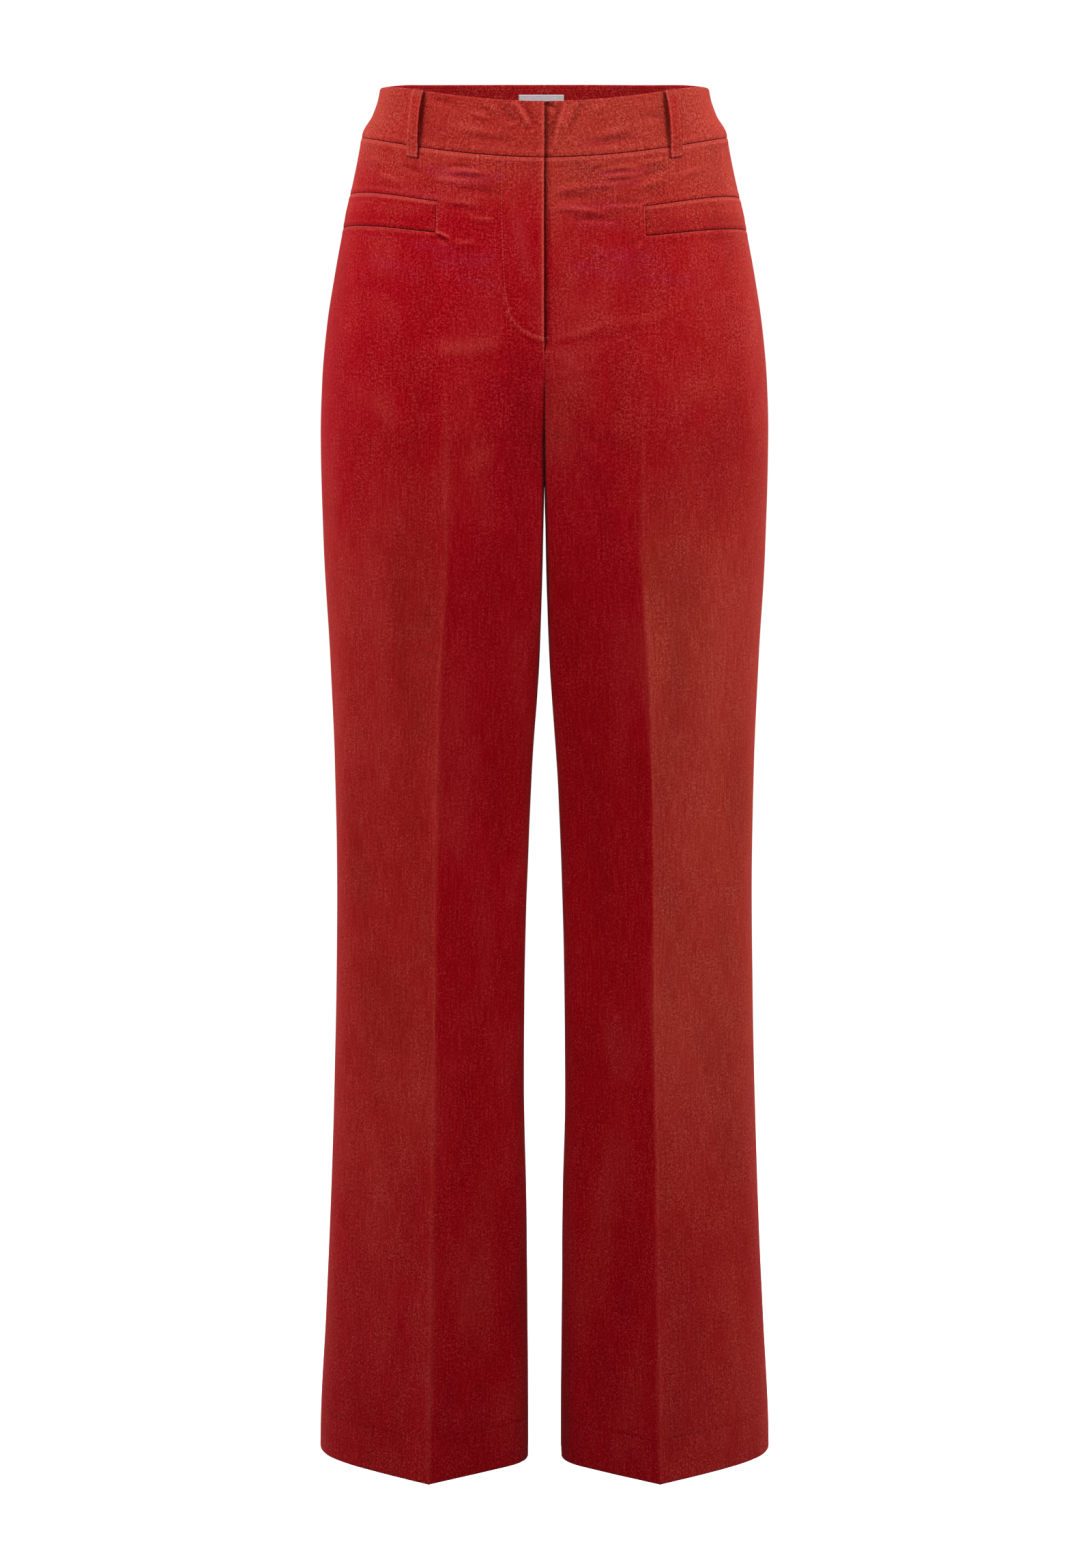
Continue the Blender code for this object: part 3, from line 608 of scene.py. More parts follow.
PANEL_CREASES_MM = {
    ("right", "front"): (
        (82, 104, 69, 111, 0.8, 1.6, 0.9), (80, 107, 72, 113, 0.6, 1.6, -1),
        (70, 112, 50, 112, -1, 2.6, 0.5), (79, 79, 45, 80, 1, 2.8, 0.4),
        (76, 83, 48, 85, 1, 2.6, -0.3), (78, 52, 48, 50, 0.6, 1.6, -0.6),
        (72, 55.2, 40, 54, 0.8, 1.6, 0.6), (70, 58, 46, 57.4, 0.4, 1.4, -0.5),
        (84, 62, 56, 64, 0.8, 2.2, 0.6), (66, 68, 30, 70, 0.8, 3, -0.5),
        (56, 92, 36, 93, 0.6, 2.2, 0.5), (108, 56, 90, 60, 0.8, 2.2, -0.6),
        (126, 66, 104, 70, 1, 2.6, 0.6), (134, 54, 118, 58, 0.8, 2.2, 0.5),
        (25, 70, 13, 150, 2, 5, 0.5), (28, 190, 90, 195, 4, 7, 0.5),
        (145, 150, 100, 162, 3, 9, -0.3), (150, 230, 100, 260, 5, 11, 0.35),
        (10, 230, 50, 276, 5, 8, -0.4), (20, 238, 62, 290, 6, 9, 0.4),
        (92, 424, 78.8, 426.2, 1, 1.5, 0.8), (90.5, 427.5, 79, 429, 0.8, 1.5, -0.8),
        (130, 360, 124, 560, 6, 12, 0.4), (110, 320, 106, 480, -4, 11, -0.4),
        (150, 520, 138, 720, 5, 12, -0.35), (40, 500, 34, 740, 4, 9, -0.3),
        (148, 760, 118, 900, 6, 11, 0.35), (50, 820, 42, 1000, 4, 9, 0.3),
    ),
    ("left", "front"): (
        (50, 47.8, 28, 47, 0.4, 1.3, 0.8), (56, 50, 36, 49.6, 0.4, 1.2, -0.6),
        (72, 52.4, 36, 50.6, 0.8, 1.3, 0.61), (70, 54.8, 42, 53.4, 0.6, 1.2, -0.55),
        (74, 57.6, 36, 58, 1, 1.4, 0.55), (70, 60.4, 44, 61.2, 0.8, 1.4, -0.49),
        (56, 64, 26, 63.6, 0.8, 2, 0.6), (96, 54, 74, 60, 0.8, 1.6, -0.48),
        (90, 50, 70, 49, 0.6, 1.4, 0.7), (92, 64, 66, 68, 0.8, 2.2, 0.6),
        (30, 64, 8, 66, 0.8, 2.2, 0.6), (36, 72, 6, 73, 1, 2.6, -0.5),
        (75, 79.5, 48, 78, 0.6, 1.6, -0.3), (74, 82.8, 34, 83, 1.2, 2.6, 0.3),
        (46, 87, 6, 80, 1.6, 2.8, 0.7), (56, 93, 20, 90, 1, 2.6, -0.6),
        (120, 60, 98, 64, 1, 2.4, 0.6), (74, 110, 70, 123, 0.8, 1.6, 0.7),
        (70, 110, 64, 118, 0.6, 1.8, -0.5), (39.3, 116.6, 44.4, 124.4, 0.4, 1.1, 0.5),
        (35, 112, 40, 119, 0.4, 1.1, 0.4), (4, 188, 54, 172, 3, 3, 0.28),
        (40, 178, 105, 162, 5, 5, 0.28), (6, 192.5, 70, 178, 4, 4.4, -0.22),
        (6, 196, 40, 216, 3, 5, 0.25), (145, 220, 95, 246, 5, 11, 0.35),
        (12, 230, 48, 274, 5, 8, -0.4), (22, 240, 60, 296, 6, 9, 0.4),
        (129, 330, 122, 540, -6, 12, 0.4), (108, 360, 104, 520, 4, 11, -0.4),
        (146, 500, 136, 700, -5, 12, -0.35), (38, 480, 36, 700, -4, 9, -0.3),
        (120, 740, 144, 880, 6, 11, 0.35), (48, 800, 44, 980, -4, 9, 0.3),
    ),
    ("right", "back"): (
        (10, 190, 70, 224, 5, 7, 0.9), (12, 205, 80, 246, 6, 8, -0.45),
        (18, 224, 90, 276, 7, 9, 0.5), (30, 260, 105, 308, 8, 10, -0.45),
        (130, 120, 80, 130, 4, 9, 0.5), (100, 310, 98, 460, 4, 11, 0.45),
        (130, 420, 124, 620, 5, 12, -0.4), (100, 560, 60, 574, 4, 8, -0.35),
        (110, 590, 50, 605, 5, 8, 0.35), (40, 700, 36, 900, 4, 9, -0.3),
        (130, 800, 140, 960, 6, 11, 0.35),
    ),
    ("left", "back"): (
        (8, 184, 64, 216, 5, 7, 0.8), (14, 210, 86, 248, 6, 8, -0.45),
        (22, 232, 96, 280, 7, 9, 0.5), (28, 268, 100, 320, 8, 10, -0.45),
        (120, 130, 86, 136, 4, 9, 0.5), (104, 320, 100, 450, -4, 11, 0.45),
        (132, 400, 128, 600, 5, 12, -0.4), (108, 550, 56, 562, 4, 8, 0.35),
        (96, 586, 52, 596, 4, 8, -0.35), (42, 720, 38, 880, -4, 9, -0.3),
        (134, 780, 124, 940, 6, 11, 0.35),
    ),
}


def in_metres(rows_by_place):
    """The same creases in metres."""
    return {place: [Crease(*(length / 1000 for length in row)) for row in rows]
            for place, rows in rows_by_place.items()}


BAND_CREASES = in_metres(BAND_CREASES_MM)
PANEL_CREASES = in_metres(PANEL_CREASES_MM)
for part, crease_rows in (("band", BAND_CREASES), ("panels", PANEL_CREASES)):
    print("creases,", part + ":", sum(len(rows) for rows in crease_rows.values()))

# %% [markdown]
# A crease's two ends are turned into lengths along the cloth, and its line into a few short
# straight runs. A point's distance to the nearest run gives the height that the crease adds
# there. Only points close to the crease are asked, which keeps this quick.

# %% Crease relief
CREASE_RUNS = 14
CREASE_REACH = 3.2
CREASE_FADE = 0.8


def run_on_cloth(half, row):
    """The two ends of a crease or smear, as places on the cloth."""
    return on_cloth(half, ((row.x, row.drop), (row.to_x, row.to_drop)))


def crease_line(half, crease):
    """Points of the crease's line, as places on the cloth."""
    start, end = np.array(run_on_cloth(half, crease))
    t = np.linspace(0, 1, CREASE_RUNS + 1)[:, None]
    across = np.array([start[1] - end[1], end[0] - start[0]])
    across = across / np.linalg.norm(across)
    return start + (end - start) * t + across * crease.bow * 4 * t * (1 - t)


def crease_relief(half, creases, from_fold, drop):
    """Sum of the heights that the creases add at each point."""
    relief = np.zeros(from_fold.shape)
    for crease in creases:
        line = crease_line(half, crease)
        reach = CREASE_REACH * crease.width
        low, high = line.min(axis=0) - reach, line.max(axis=0) + reach
        near = (from_fold > low[0]) & (from_fold < high[0]) & (drop > low[1]) & (drop < high[1])
        if not near.any():
            continue
        points = np.stack([from_fold[near], drop[near]], axis=-1)[:, None, :]
        start, step = line[:-1], np.diff(line, axis=0)
        t = ((points - start) * step).sum(axis=-1) / (step * step).sum(axis=-1)
        t = np.clip(t, 0, 1)
        gap = np.linalg.norm(points - (start + t[..., None] * step), axis=-1)
        nearest = gap.argmin(axis=1)
        pick = np.arange(len(nearest))
        along = (nearest + t[pick, nearest]) / CREASE_RUNS
        fade = np.sin(math.pi * np.clip(along, 0, 1)) ** CREASE_FADE
        relief[near] += crease.height * fade * bell(gap[pick, nearest], crease.width)
    return relief


print("straight runs in a crease:", CREASE_RUNS)

# %% [markdown]
# ## Seams, the pressed fold and the lap of the fly
#
# At a seam both cloths roll inwards and meet in a narrow valley, so the outer face sinks
# along a small quarter circle near the edge. Just beside it the doubled seam allowance
# pushes up a low lip. The pressed fold is the opposite: a fine ridge, sharp from the thigh
# down and gone towards the hips. At the fly the right front stands a little proud and the
# left one sinks under it.

# %% Relief of seams, fold and lap
SEAM_ROLL = 0.0004
SEAM_LIP = 0.00024
LIP_AT = 0.0028
LIP_WIDTH = 0.0015
FOLD_HEIGHT = 0.00075
FOLD_WIDTH = 0.0019
FOLD_AT_HIPS = 0.12
FOLD_STARTS = {"front": (0.16, 0.36), "back": (0.22, 0.40)}
LAP_LIFT = 0.0006
LAP_TUCK = 0.0019
BAND_LAP_TUCK = 0.0026
LAP_RAMP = 0.0065
LAP_FADE = 0.014
UNDERLAP = 0.018
EXTENSION_PAST = 0.012
EXTENSION_TUCK = 0.0035
# Painted light: upward slopes and ridges are painted pale, downward slopes, troughs and seam
# valleys dark, and a painted highlight lies just below a seam.
FACING_UP_HIGHLIGHT = 1.5
RELIEF_LIGHT_AND_SHADE = 260.0
RELIEF_LIGHT_RANGE = (-0.0006, 0.0012)
SEAM_DARK = 0.4
SEAM_DARK_WIDTH = 0.0006
LIP_HIGHLIGHT = 0.42
LIP_HIGHLIGHT_AT = 0.0018
LIP_HIGHLIGHT_WIDTH = 0.0009


def rolled_in(distance, radius):
    """How far a face sinks at a distance from an edge that is rounded off with this radius."""
    left = radius - np.clip(distance, 0, radius)
    return radius - np.sqrt(np.maximum(radius**2 - left**2, 0))


def lip(distance):
    """Low swelling beside a seam, over its allowance."""
    return SEAM_LIP * bell(distance - LIP_AT, LIP_WIDTH)


def seam(distance, roll=SEAM_ROLL):
    """Relief beside a seam: down into the valley, and up over the allowance."""
    return lip(distance) - rolled_in(distance, roll)


def pressed_fold(half, drop, distance):
    """Fine ridge of the pressed fold at a distance from its line."""
    start, full = FOLD_STARTS[half]
    grown = FOLD_AT_HIPS + (1 - FOLD_AT_HIPS) * past(drop, start, full - start)
    return FOLD_HEIGHT * grown * np.exp(-np.abs(distance) / FOLD_WIDTH)


print("seam relief at 0, 1 and 3 mm:", seam(np.array([0.0, 0.001, 0.003])).round(5))

# %% [markdown]
# The same relief also sets a painted shade in the colour. Cloth that faces up, a ridge and
# the cloth just below a seam get a painted highlight, as if lit from above, and cloth that
# faces down, a trough and the valley of a seam get a painted shade.

# %% Painted shade and highlight, and the lap
def lip_highlight(distance):
    """Painted highlight just below a seam, where the cloth turns up over its allowance."""
    return LIP_HIGHLIGHT * bell(distance - LIP_HIGHLIGHT_AT, LIP_HIGHLIGHT_WIDTH)


def painted_shade_of_relief(relief, drop, *edges, dark=SEAM_DARK):
    """Painted shade and highlight from the relief, from -1 for painted shade to 1 for painted
    highlight.

    edges are distances to seams.
    """
    facing = np.gradient(relief, axis=0) / np.gradient(drop, axis=0)
    shade = FACING_UP_HIGHLIGHT * facing + RELIEF_LIGHT_AND_SHADE * np.clip(relief, *RELIEF_LIGHT_RANGE)
    for distance in edges:
        # painted shade: a dark line in the valley of each seam
        shade = shade - dark * bell(distance, SEAM_DARK_WIDTH)
    return np.clip(shade, -1, 1)


def lap(side, half, x, drop, tuck):
    """Outward shift that lets the right front lap over the left one.

    x runs from the middle to the front's own side, so it is negative on the extension.
    """
    if half == "back":
        return np.zeros_like(x)
    fade = np.maximum(1 - past(drop, FLY_END, LAP_FADE), smooth(-x / EXTENSION_TUCK))
    near = 1 - smooth(np.maximum(x, 0.0) / LAP_RAMP)
    return fade * near * (LAP_LIFT if side == "right" else -tuck)


# %% [markdown]
# No hand-made cloth is perfectly even. A slow, shallow unevenness, stretched along the
# grain, keeps the wide faces of the legs from looking like sheet metal.

# %% Unevenness
UNEVEN_HEIGHT = 0.00055
UNEVEN_ACROSS = 26.0
UNEVEN_DOWN = 9.0
FINER = 2.3
FINER_SHARE = 0.5
FINER_SEED = 7.3
PANEL_SEEDS = (3.1, 1.7)
BAND_SEEDS = (5.3, 9.1)


def seed_of(seeds, side, half):
    """Seed of the unevenness of one quarter."""
    return SIDE_SIGN[side] * seeds[0] + HALF_SIGN[half] * seeds[1]


def uneven(seed, from_fold, drop):
    """Slow unevenness of the cloth, the same on each run."""
    places = np.column_stack([from_fold.ravel() * UNEVEN_ACROSS, drop.ravel() * UNEVEN_DOWN])
    values = []
    for x, y in places:
        finer = noise.noise((FINER * x, FINER * y, seed + FINER_SEED))
        values.append(noise.noise((x, y, seed)) + FINER_SHARE * finer)
    return UNEVEN_HEIGHT * np.array(values).reshape(from_fold.shape)


# %% [markdown]
# ## From two grids of points to one closed shell
#
# A wall of cloth is an outer grid and an inner grid, joined round every border. Working on
# grids gives each corner a place on the flat cloth too, its UV, in metres: the pile then
# follows the grain wherever the piece goes.

# %% Shell maker
# Inside faces: a little brushed, with a faint painted shade in the blue channel.
INSIDE_PILE = (0.20, 0.0, 0.44, 1.0)


def shell(name, outer, inner, cloth_uv, outward, material, keep=None, pile=None):
    """A closed wall between two grids of points; keep marks the cells that are cloth."""
    rows, columns = outer.shape[:2]
    if keep is None:
        keep = np.ones((rows - 1, columns - 1), dtype=bool)
    index = np.arange(rows * columns).reshape(rows, columns)
    a, b = index[:-1, :-1][keep], index[:-1, 1:][keep]
    c, d = index[1:, 1:][keep], index[1:, :-1][keep]
    quads = np.stack([a, b, c, d], axis=1)
    middle = (rows // 2, columns // 2)
    over = outer[middle[0], middle[1] + 1] - outer[middle]
    down = outer[middle[0] + 1, middle[1]] - outer[middle]
    if np.cross(over, down) @ outward[middle] < 0:
        quads = quads[:, ::-1]
    inner_start = rows * columns
    ways = np.concatenate([quads[:, [i, (i + 1) % 4]] for i in range(4)])
    keys = ways[:, 0].astype(np.int64) * inner_start + ways[:, 1]
    back_keys = ways[:, 1].astype(np.int64) * inner_start + ways[:, 0]
    border = ways[~np.isin(keys, back_keys)]
    start, end = border[:, 0], border[:, 1]
    rim = np.stack([end, start, start + inner_start, end + inner_start], axis=1)
    faces = np.concatenate([quads, quads[:, ::-1] + inner_start, rim])
    points = np.concatenate([outer.reshape(-1, 3), inner.reshape(-1, 3)])
    both_uv = np.concatenate([cloth_uv.reshape(-1, 2)] * 2)
    used = np.unique(faces)
    renumber = np.zeros(len(points), dtype=np.int64)
    renumber[used] = np.arange(len(used))
    mesh = bpy.data.meshes.new(name)
    mesh.from_pydata(points[used].tolist(), [], renumber[faces].tolist())
    uv_map = mesh.uv_layers.new(name="cloth")
    uv_map.data.foreach_set("uv", both_uv[faces.ravel()].astype(np.float32).ravel())
    if pile is not None:
        # the pile colour carries painted sheen, shade and highlight too
        lie_and_painted_light = mesh.attributes.new("pile", "FLOAT_COLOR", "POINT")
        inside = np.tile(INSIDE_PILE, (rows * columns, 1))
        both = np.concatenate([pile.reshape(-1, 4), inside])[used]
        lie_and_painted_light.data.foreach_set("color", both.astype(np.float32).ravel())
    mesh.materials.append(material)
    mesh.shade_smooth()
    piece = bpy.data.objects.new(name, mesh)
    bpy.context.scene.collection.objects.link(piece)
    return piece


def settle(piece, node, flat):
    """Hang the piece on the root, hide the frame node that it stands for, and print its faces and
    cut.
    """
    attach(piece, "root")
    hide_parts(node)
    print(piece.name, "faces:", len(piece.data.polygons), "cut:", [round(x, 3) for x in flat])


# %% [markdown]
# ## The velvet
#
# Velvet is a woven ground with a short upright pile. Looking down into upright pile we see
# deep crimson, full of tiny dark and bright tufts. Where the pile lies brushed or pressed
# down, we see its flanks: they are smoother and browner, like rust, and the same rust also
# stands for the sheen that the side and top lights leave, so it is partly painted sheen.
# Where it is crushed in a crease, it turns pinkish. Each point of the cloth stores those two
# amounts, "brushed" and "crushed", and a painted shade, from a near-black painted shade in
# seams, troughs and downward slopes to a pale painted highlight on ridges and upward slopes.
# The material mixes five piles by them. The sheen of the Principled shader adds the pale
# bloom that grazing light leaves on the tips. Every pattern is noise on the flat cloth, so it
# follows the grain.

# %% Piles and patterns
Pile = namedtuple("Pile", "deep main tip")
# Piles: upright crimson; a rust pile that is partly the brushed pile's own colour and partly
# painted sheen; crushed pink; a pale painted highlight; and a near-black painted shade.
UPRIGHT = Pile((0.235, 0.0004, 0.0022), (0.370, 0.0012, 0.0066), (0.535, 0.0300, 0.0400))
BRUSHED_AND_SHEEN_PILE = Pile((0.300, 0.0140, 0.0090), (0.430, 0.0400, 0.0250), (0.590, 0.1150, 0.0850))
CRUSHED = Pile((0.230, 0.0030, 0.0180), (0.350, 0.0090, 0.0360), (0.500, 0.0600, 0.0950))
PAINTED_HIGHLIGHT_PILE = Pile((0.480, 0.0420, 0.0330), (0.610, 0.0800, 0.0620), (0.720, 0.1300, 0.1020))
PAINTED_SHADE_PILE = Pile((0.030, 0.0001, 0.0005), (0.060, 0.0004, 0.0016), (0.100, 0.0020, 0.0040))
PILE_STOPS = (0.22, 0.50, 0.82)

Pattern = namedtuple("Pattern", "per_metre stretch detail seed")
TUFTS = Pattern(1150.0, 1.3, 1.0, 0.0)
CLUMPS = Pattern(560.0, 1.2, 1.0, 2.0)
STREAKS = Pattern(600.0, 11.0, 1.0, 5.0)
PATCHES = Pattern(46.0, 1.5, 3.0, 11.0)
ZONES = Pattern(12.0, 2.2, 2.0, 23.0)
PATTERN_ROUGHNESS = 0.6
PATTERN_SLANT = 0.37


def noise_on_cloth(tree, cloth, pattern, seed):
    """Noise on the flat cloth, drawn out along the grain by the pattern's stretch."""
    start = seed + pattern.seed
    placing = tree.nodes.new("ShaderNodeMapping")
    set_inputs(placing, {
        "Scale": (pattern.per_metre, pattern.per_metre / pattern.stretch, 1.0),
        "Location": (start, start * PATTERN_SLANT, 0.0),
    })
    tree.links.new(cloth, placing.inputs["Vector"])
    node = tree.nodes.new("ShaderNodeTexNoise")
    set_inputs(node, {"Scale": 1.0, "Detail": pattern.detail, "Roughness": PATTERN_ROUGHNESS})
    tree.links.new(placing.outputs["Vector"], node.inputs["Vector"])
    return node.outputs["Fac"]


print("patterns a metre:", TUFTS.per_metre, CLUMPS.per_metre, STREAKS.per_metre)

# %% [markdown]
# A few small tools keep the node trees readable: they carry a value from one range to
# another, reckon, colour a value with a ramp, mix two colours, read the flat cloth's UV and
# let a pattern raise the fine relief.

# %% Node tools
def spread(tree, value, low, high, to_low, to_high):
    """The value carried from one range to another, held at its ends."""
    node = tree.nodes.new("ShaderNodeMapRange")
    set_inputs(node, {"From Min": low, "From Max": high, "To Min": to_low, "To Max": to_high})
    tree.links.new(value, node.inputs["Value"])
    return node.outputs["Result"]


def reckon(tree, operation, first, second, third=None):
    """One sum on sockets or numbers."""
    node = tree.nodes.new("ShaderNodeMath")
    node.operation = operation
    for socket, value in zip(node.inputs, (first, second, third)):
        if isinstance(value, (int, float)):
            socket.default_value = value
        elif value is not None:
            tree.links.new(value, socket)
    return node.outputs["Value"]


def ramp(tree, value, stops):
    """Colour ramp over a value; stops are pairs of place and linear colour."""
    node = tree.nodes.new("ShaderNodeValToRGB")
    elements = node.color_ramp.elements
    while len(elements) < len(stops):
        elements.new(0.5)
    for element, (place, colour) in zip(elements, stops):
        element.position = place
        element.color = (*colour, 1.0)
    tree.links.new(value, node.inputs["Fac"])
    return node.outputs["Color"]


def mixed(tree, share, first, second):
    """Mix of two colours."""
    node = tree.nodes.new("ShaderNodeMix")
    node.data_type = "RGBA"
    tree.links.new(share, node.inputs["Factor"])
    tree.links.new(first, node.inputs["A"])
    tree.links.new(second, node.inputs["B"])
    return node.outputs["Result"]


def flat_cloth(tree):
    """The place on the flat cloth, from the piece's own UV map."""
    uv = tree.nodes.new("ShaderNodeUVMap")
    uv.uv_map = "cloth"
    return uv.outputs["UV"]


def raise_relief(tree, shader, height, values):
    """Let a pattern raise the surface's fine relief."""
    bump = tree.nodes.new("ShaderNodeBump")
    set_inputs(bump, values)
    tree.links.new(height, bump.inputs["Height"])
    tree.links.new(bump.outputs["Normal"], shader.inputs["Normal"])


# %% [markdown]
# The tufts and the clumps that they gather in choose a place on each pile's ramp, and long
# streaks along the grain shift it a little. Slow patches make the grain livelier or calmer,
# and wide zones let the brushed part wander, as on any cloth that was handled.

# %% Velvet material
GRAIN_BY_PATCH = (0.34, 0.64, 0.65, 1.5)
CLUMP_SHARE = 0.70
SHIFT_BY_STREAK = (0.25, 0.75, -0.09, 0.09)
BRUSHED_BY_ZONE = (0.30, 0.70, -0.08, 0.08)
BRUSHED_BY_PATCH = (0.30, 0.70, -0.06, 0.06)
CRUSHED_BY_STREAK = (0.3, 0.7, 0.5, 1.0)
TUFT_RELIEF = {"Strength": 0.35, "Distance": 0.0004}
VELVET_FINISH = {"Roughness": 0.95, "Specular IOR Level": 0.0, "Sheen Weight": 0.30,
                 "Sheen Roughness": 0.45, "Sheen Tint": (1.0, 0.24, 0.24, 1.0)}


def tuft_height(tree, cloth, lively, patches, streaks, seed):
    """Place on the ramps for each tuft, with 0.5 for the middle of the pile."""
    tufts = noise_on_cloth(tree, cloth, TUFTS, seed)
    clumps = noise_on_cloth(tree, cloth, CLUMPS, seed)
    grain = reckon(tree, "MULTIPLY", spread(tree, patches, *GRAIN_BY_PATCH), lively)
    clump = reckon(tree, "SUBTRACT", clumps, 0.5)
    both = reckon(tree, "MULTIPLY_ADD", clump, CLUMP_SHARE, tufts)
    tuft = reckon(tree, "MULTIPLY_ADD", reckon(tree, "SUBTRACT", both, 0.5), grain, 0.5)
    return reckon(tree, "ADD", tuft, spread(tree, streaks, *SHIFT_BY_STREAK))


def velvet(name, seed):
    """Crimson velvet whose pile follows the piece's own flat cloth, with painted sheen, highlight
    and shade read from the piece's pile colour.
    """
    material, tree, shader = new_material(name)
    cloth = flat_cloth(tree)
    lie_and_painted_light = tree.nodes.new("ShaderNodeAttribute")
    lie_and_painted_light.attribute_name = "pile"
    amounts = tree.nodes.new("ShaderNodeSeparateColor")
    tree.links.new(lie_and_painted_light.outputs["Color"], amounts.inputs["Color"])
    red, green, painted_light = (amounts.outputs[name] for name in ("Red", "Green", "Blue"))
    streaks, patches, zones = (
        noise_on_cloth(tree, cloth, pattern, seed) for pattern in (STREAKS, PATCHES, ZONES))
    tuft = tuft_height(tree, cloth, lie_and_painted_light.outputs["Alpha"], patches, streaks, seed)
    upright, brushed_and_sheen_pile, crushed_pile, tips, depth = (
        ramp(tree, tuft, tuple(zip(PILE_STOPS, pile)))
        for pile in (UPRIGHT, BRUSHED_AND_SHEEN_PILE, CRUSHED, PAINTED_HIGHLIGHT_PILE, PAINTED_SHADE_PILE))
    brushed_and_sheen = reckon(tree, "ADD", red, spread(tree, zones, *BRUSHED_BY_ZONE))
    brushed_and_sheen = reckon(tree, "ADD", brushed_and_sheen, spread(tree, patches, *BRUSHED_BY_PATCH))
    brushed_and_sheen = spread(tree, brushed_and_sheen, 0.0, 1.0, 0.0, 1.0)
    crushed = reckon(tree, "MULTIPLY", green, spread(tree, streaks, *CRUSHED_BY_STREAK))
    colour = mixed(tree, brushed_and_sheen, upright, brushed_and_sheen_pile)
    colour = mixed(tree, crushed, colour, crushed_pile)
    # The shade channel paints a highlight above 0.5 and a near-black shade below it.
    colour = mixed(tree, spread(tree, painted_light, 0.5, 1.0, 0.0, 1.0), colour, tips)
    colour = mixed(tree, spread(tree, painted_light, 0.0, 0.5, 1.0, 0.0), colour, depth)
    tree.links.new(colour, shader.inputs["Base Color"])
    raise_relief(tree, shader, tuft, TUFT_RELIEF)
    set_inputs(shader, VELVET_FINISH)
    return material


velvet_of = {name: velvet(f"velvet_{name}", seed) for name, seed in (
    ("panels_right", 0.0), ("panels_left", 40.0), ("band", 80.0), ("trims", 120.0))}
print("velvets:", ", ".join(velvet_of))

# %% [markdown]
# ### Where the pile lies down, and where sheen is painted
#
# An iron strokes the outer half of each leg, so the pile lies down there, more on the
# wearer's left leg, and it stays upright on the inner half: the two meet sharply at the
# pressed fold. The same brushed amount also paints sheen: the outer halves, the waist and
# the cloth next to the side seams are painted lighter and rustier where the side and top
# lights fall. A few listed smears mark where the pile was crushed. Each point of a piece
# keeps the amounts in a colour named "pile": red for brushed with painted sheen, green for
# crushed, blue for painted shade and highlight, and alpha for how lively the grain is.

# %% How the pile lies, with painted sheen
# The outer halves are partly brushed pile and partly painted sheen from the side lights; the waist
# and the cloth by the side seams get painted sheen from the top and side lights.
OUTER_BRUSHED_AND_SHEEN = {"right": 0.34, "left": 0.72}
INNER_BRUSHED = -0.14
HIP_BRUSHED = {"right": 0.0, "left": 0.10}
WAIST_PAINTED_SHEEN = {"right": 0.56, "left": 0.68}
WAIST_ENDS = {"right": 0.030, "left": 0.044}
EDGE_PAINTED_SHEEN = {"right": 0.26, "left": 0.85}
EDGE_REACH = {"right": 0.022, "left": 0.050}
SIDE_WAIST_PAINTED_SHEEN = {"right": 0.75, "left": 0.10}
INNER_HIP = 0.75
LEG_STARTS = (0.26, 0.16)
HEM_STARTS = (0.70, 0.22)
HEM_LOSS = 0.65
FOLD_BLUR = 0.0008
HIP_BLUR = 0.030
WAIST_FADE = 0.068
EDGE_LOSS = 0.75
SIDE_WAIST_REACH = 0.040
SIDE_WAIST_ENDS = (0.030, 0.035)
BRUSHED_RANGE = (-0.3, 1)
CALM_LEGS = 0.35
CALM_STARTS = (0.17, 0.22)
CALM_ENDS = (0.68, 0.20)
CALM_LOSS = 0.8

Smear = namedtuple("Smear", "x drop to_x to_drop width amount")
SMEARS = {
    "right": (
        Smear(0.0860, 0.0560, 0.0540, 0.0540, 0.0032, 0.68),
        Smear(0.0720, 0.0610, 0.0420, 0.0600, 0.0026, 0.58),
        Smear(0.0480, 0.0560, 0.0290, 0.0550, 0.0016, 0.65),
        Smear(0.1000, 0.0740, 0.0820, 0.0760, 0.0036, 0.32),
        Smear(0.0950, 0.1150, 0.0700, 0.1180, 0.0050, 0.40),
        Smear(0.0760, 0.1280, 0.0440, 0.1260, 0.0070, 0.47),
        Smear(0.0600, 0.1420, 0.0400, 0.1460, 0.0050, 0.36),
        Smear(0.1260, 0.1300, 0.0960, 0.1380, 0.0060, 0.29),
        Smear(0.0200, 0.0900, 0.0160, 0.1300, 0.0040, 0.25),
    ),
    "left": (
        Smear(0.0760, 0.0555, 0.0420, 0.0550, 0.0022, 0.61),
        Smear(0.0700, 0.0628, 0.0360, 0.0640, 0.0026, 0.58),
        Smear(0.0560, 0.0790, 0.0180, 0.0800, 0.0036, 0.47),
        Smear(0.0560, 0.0960, 0.0260, 0.0930, 0.0040, 0.36),
        Smear(0.0760, 0.1260, 0.0420, 0.1220, 0.0070, 0.50),
        Smear(0.0620, 0.1380, 0.0260, 0.1330, 0.0060, 0.43),
        Smear(0.1080, 0.1460, 0.0760, 0.1400, 0.0060, 0.32),
        Smear(0.0460, 0.0300, 0.0300, 0.0320, 0.0030, 0.32),
        Smear(0.0700, 0.0320, 0.0560, 0.0300, 0.0026, 0.29),
    ),
}


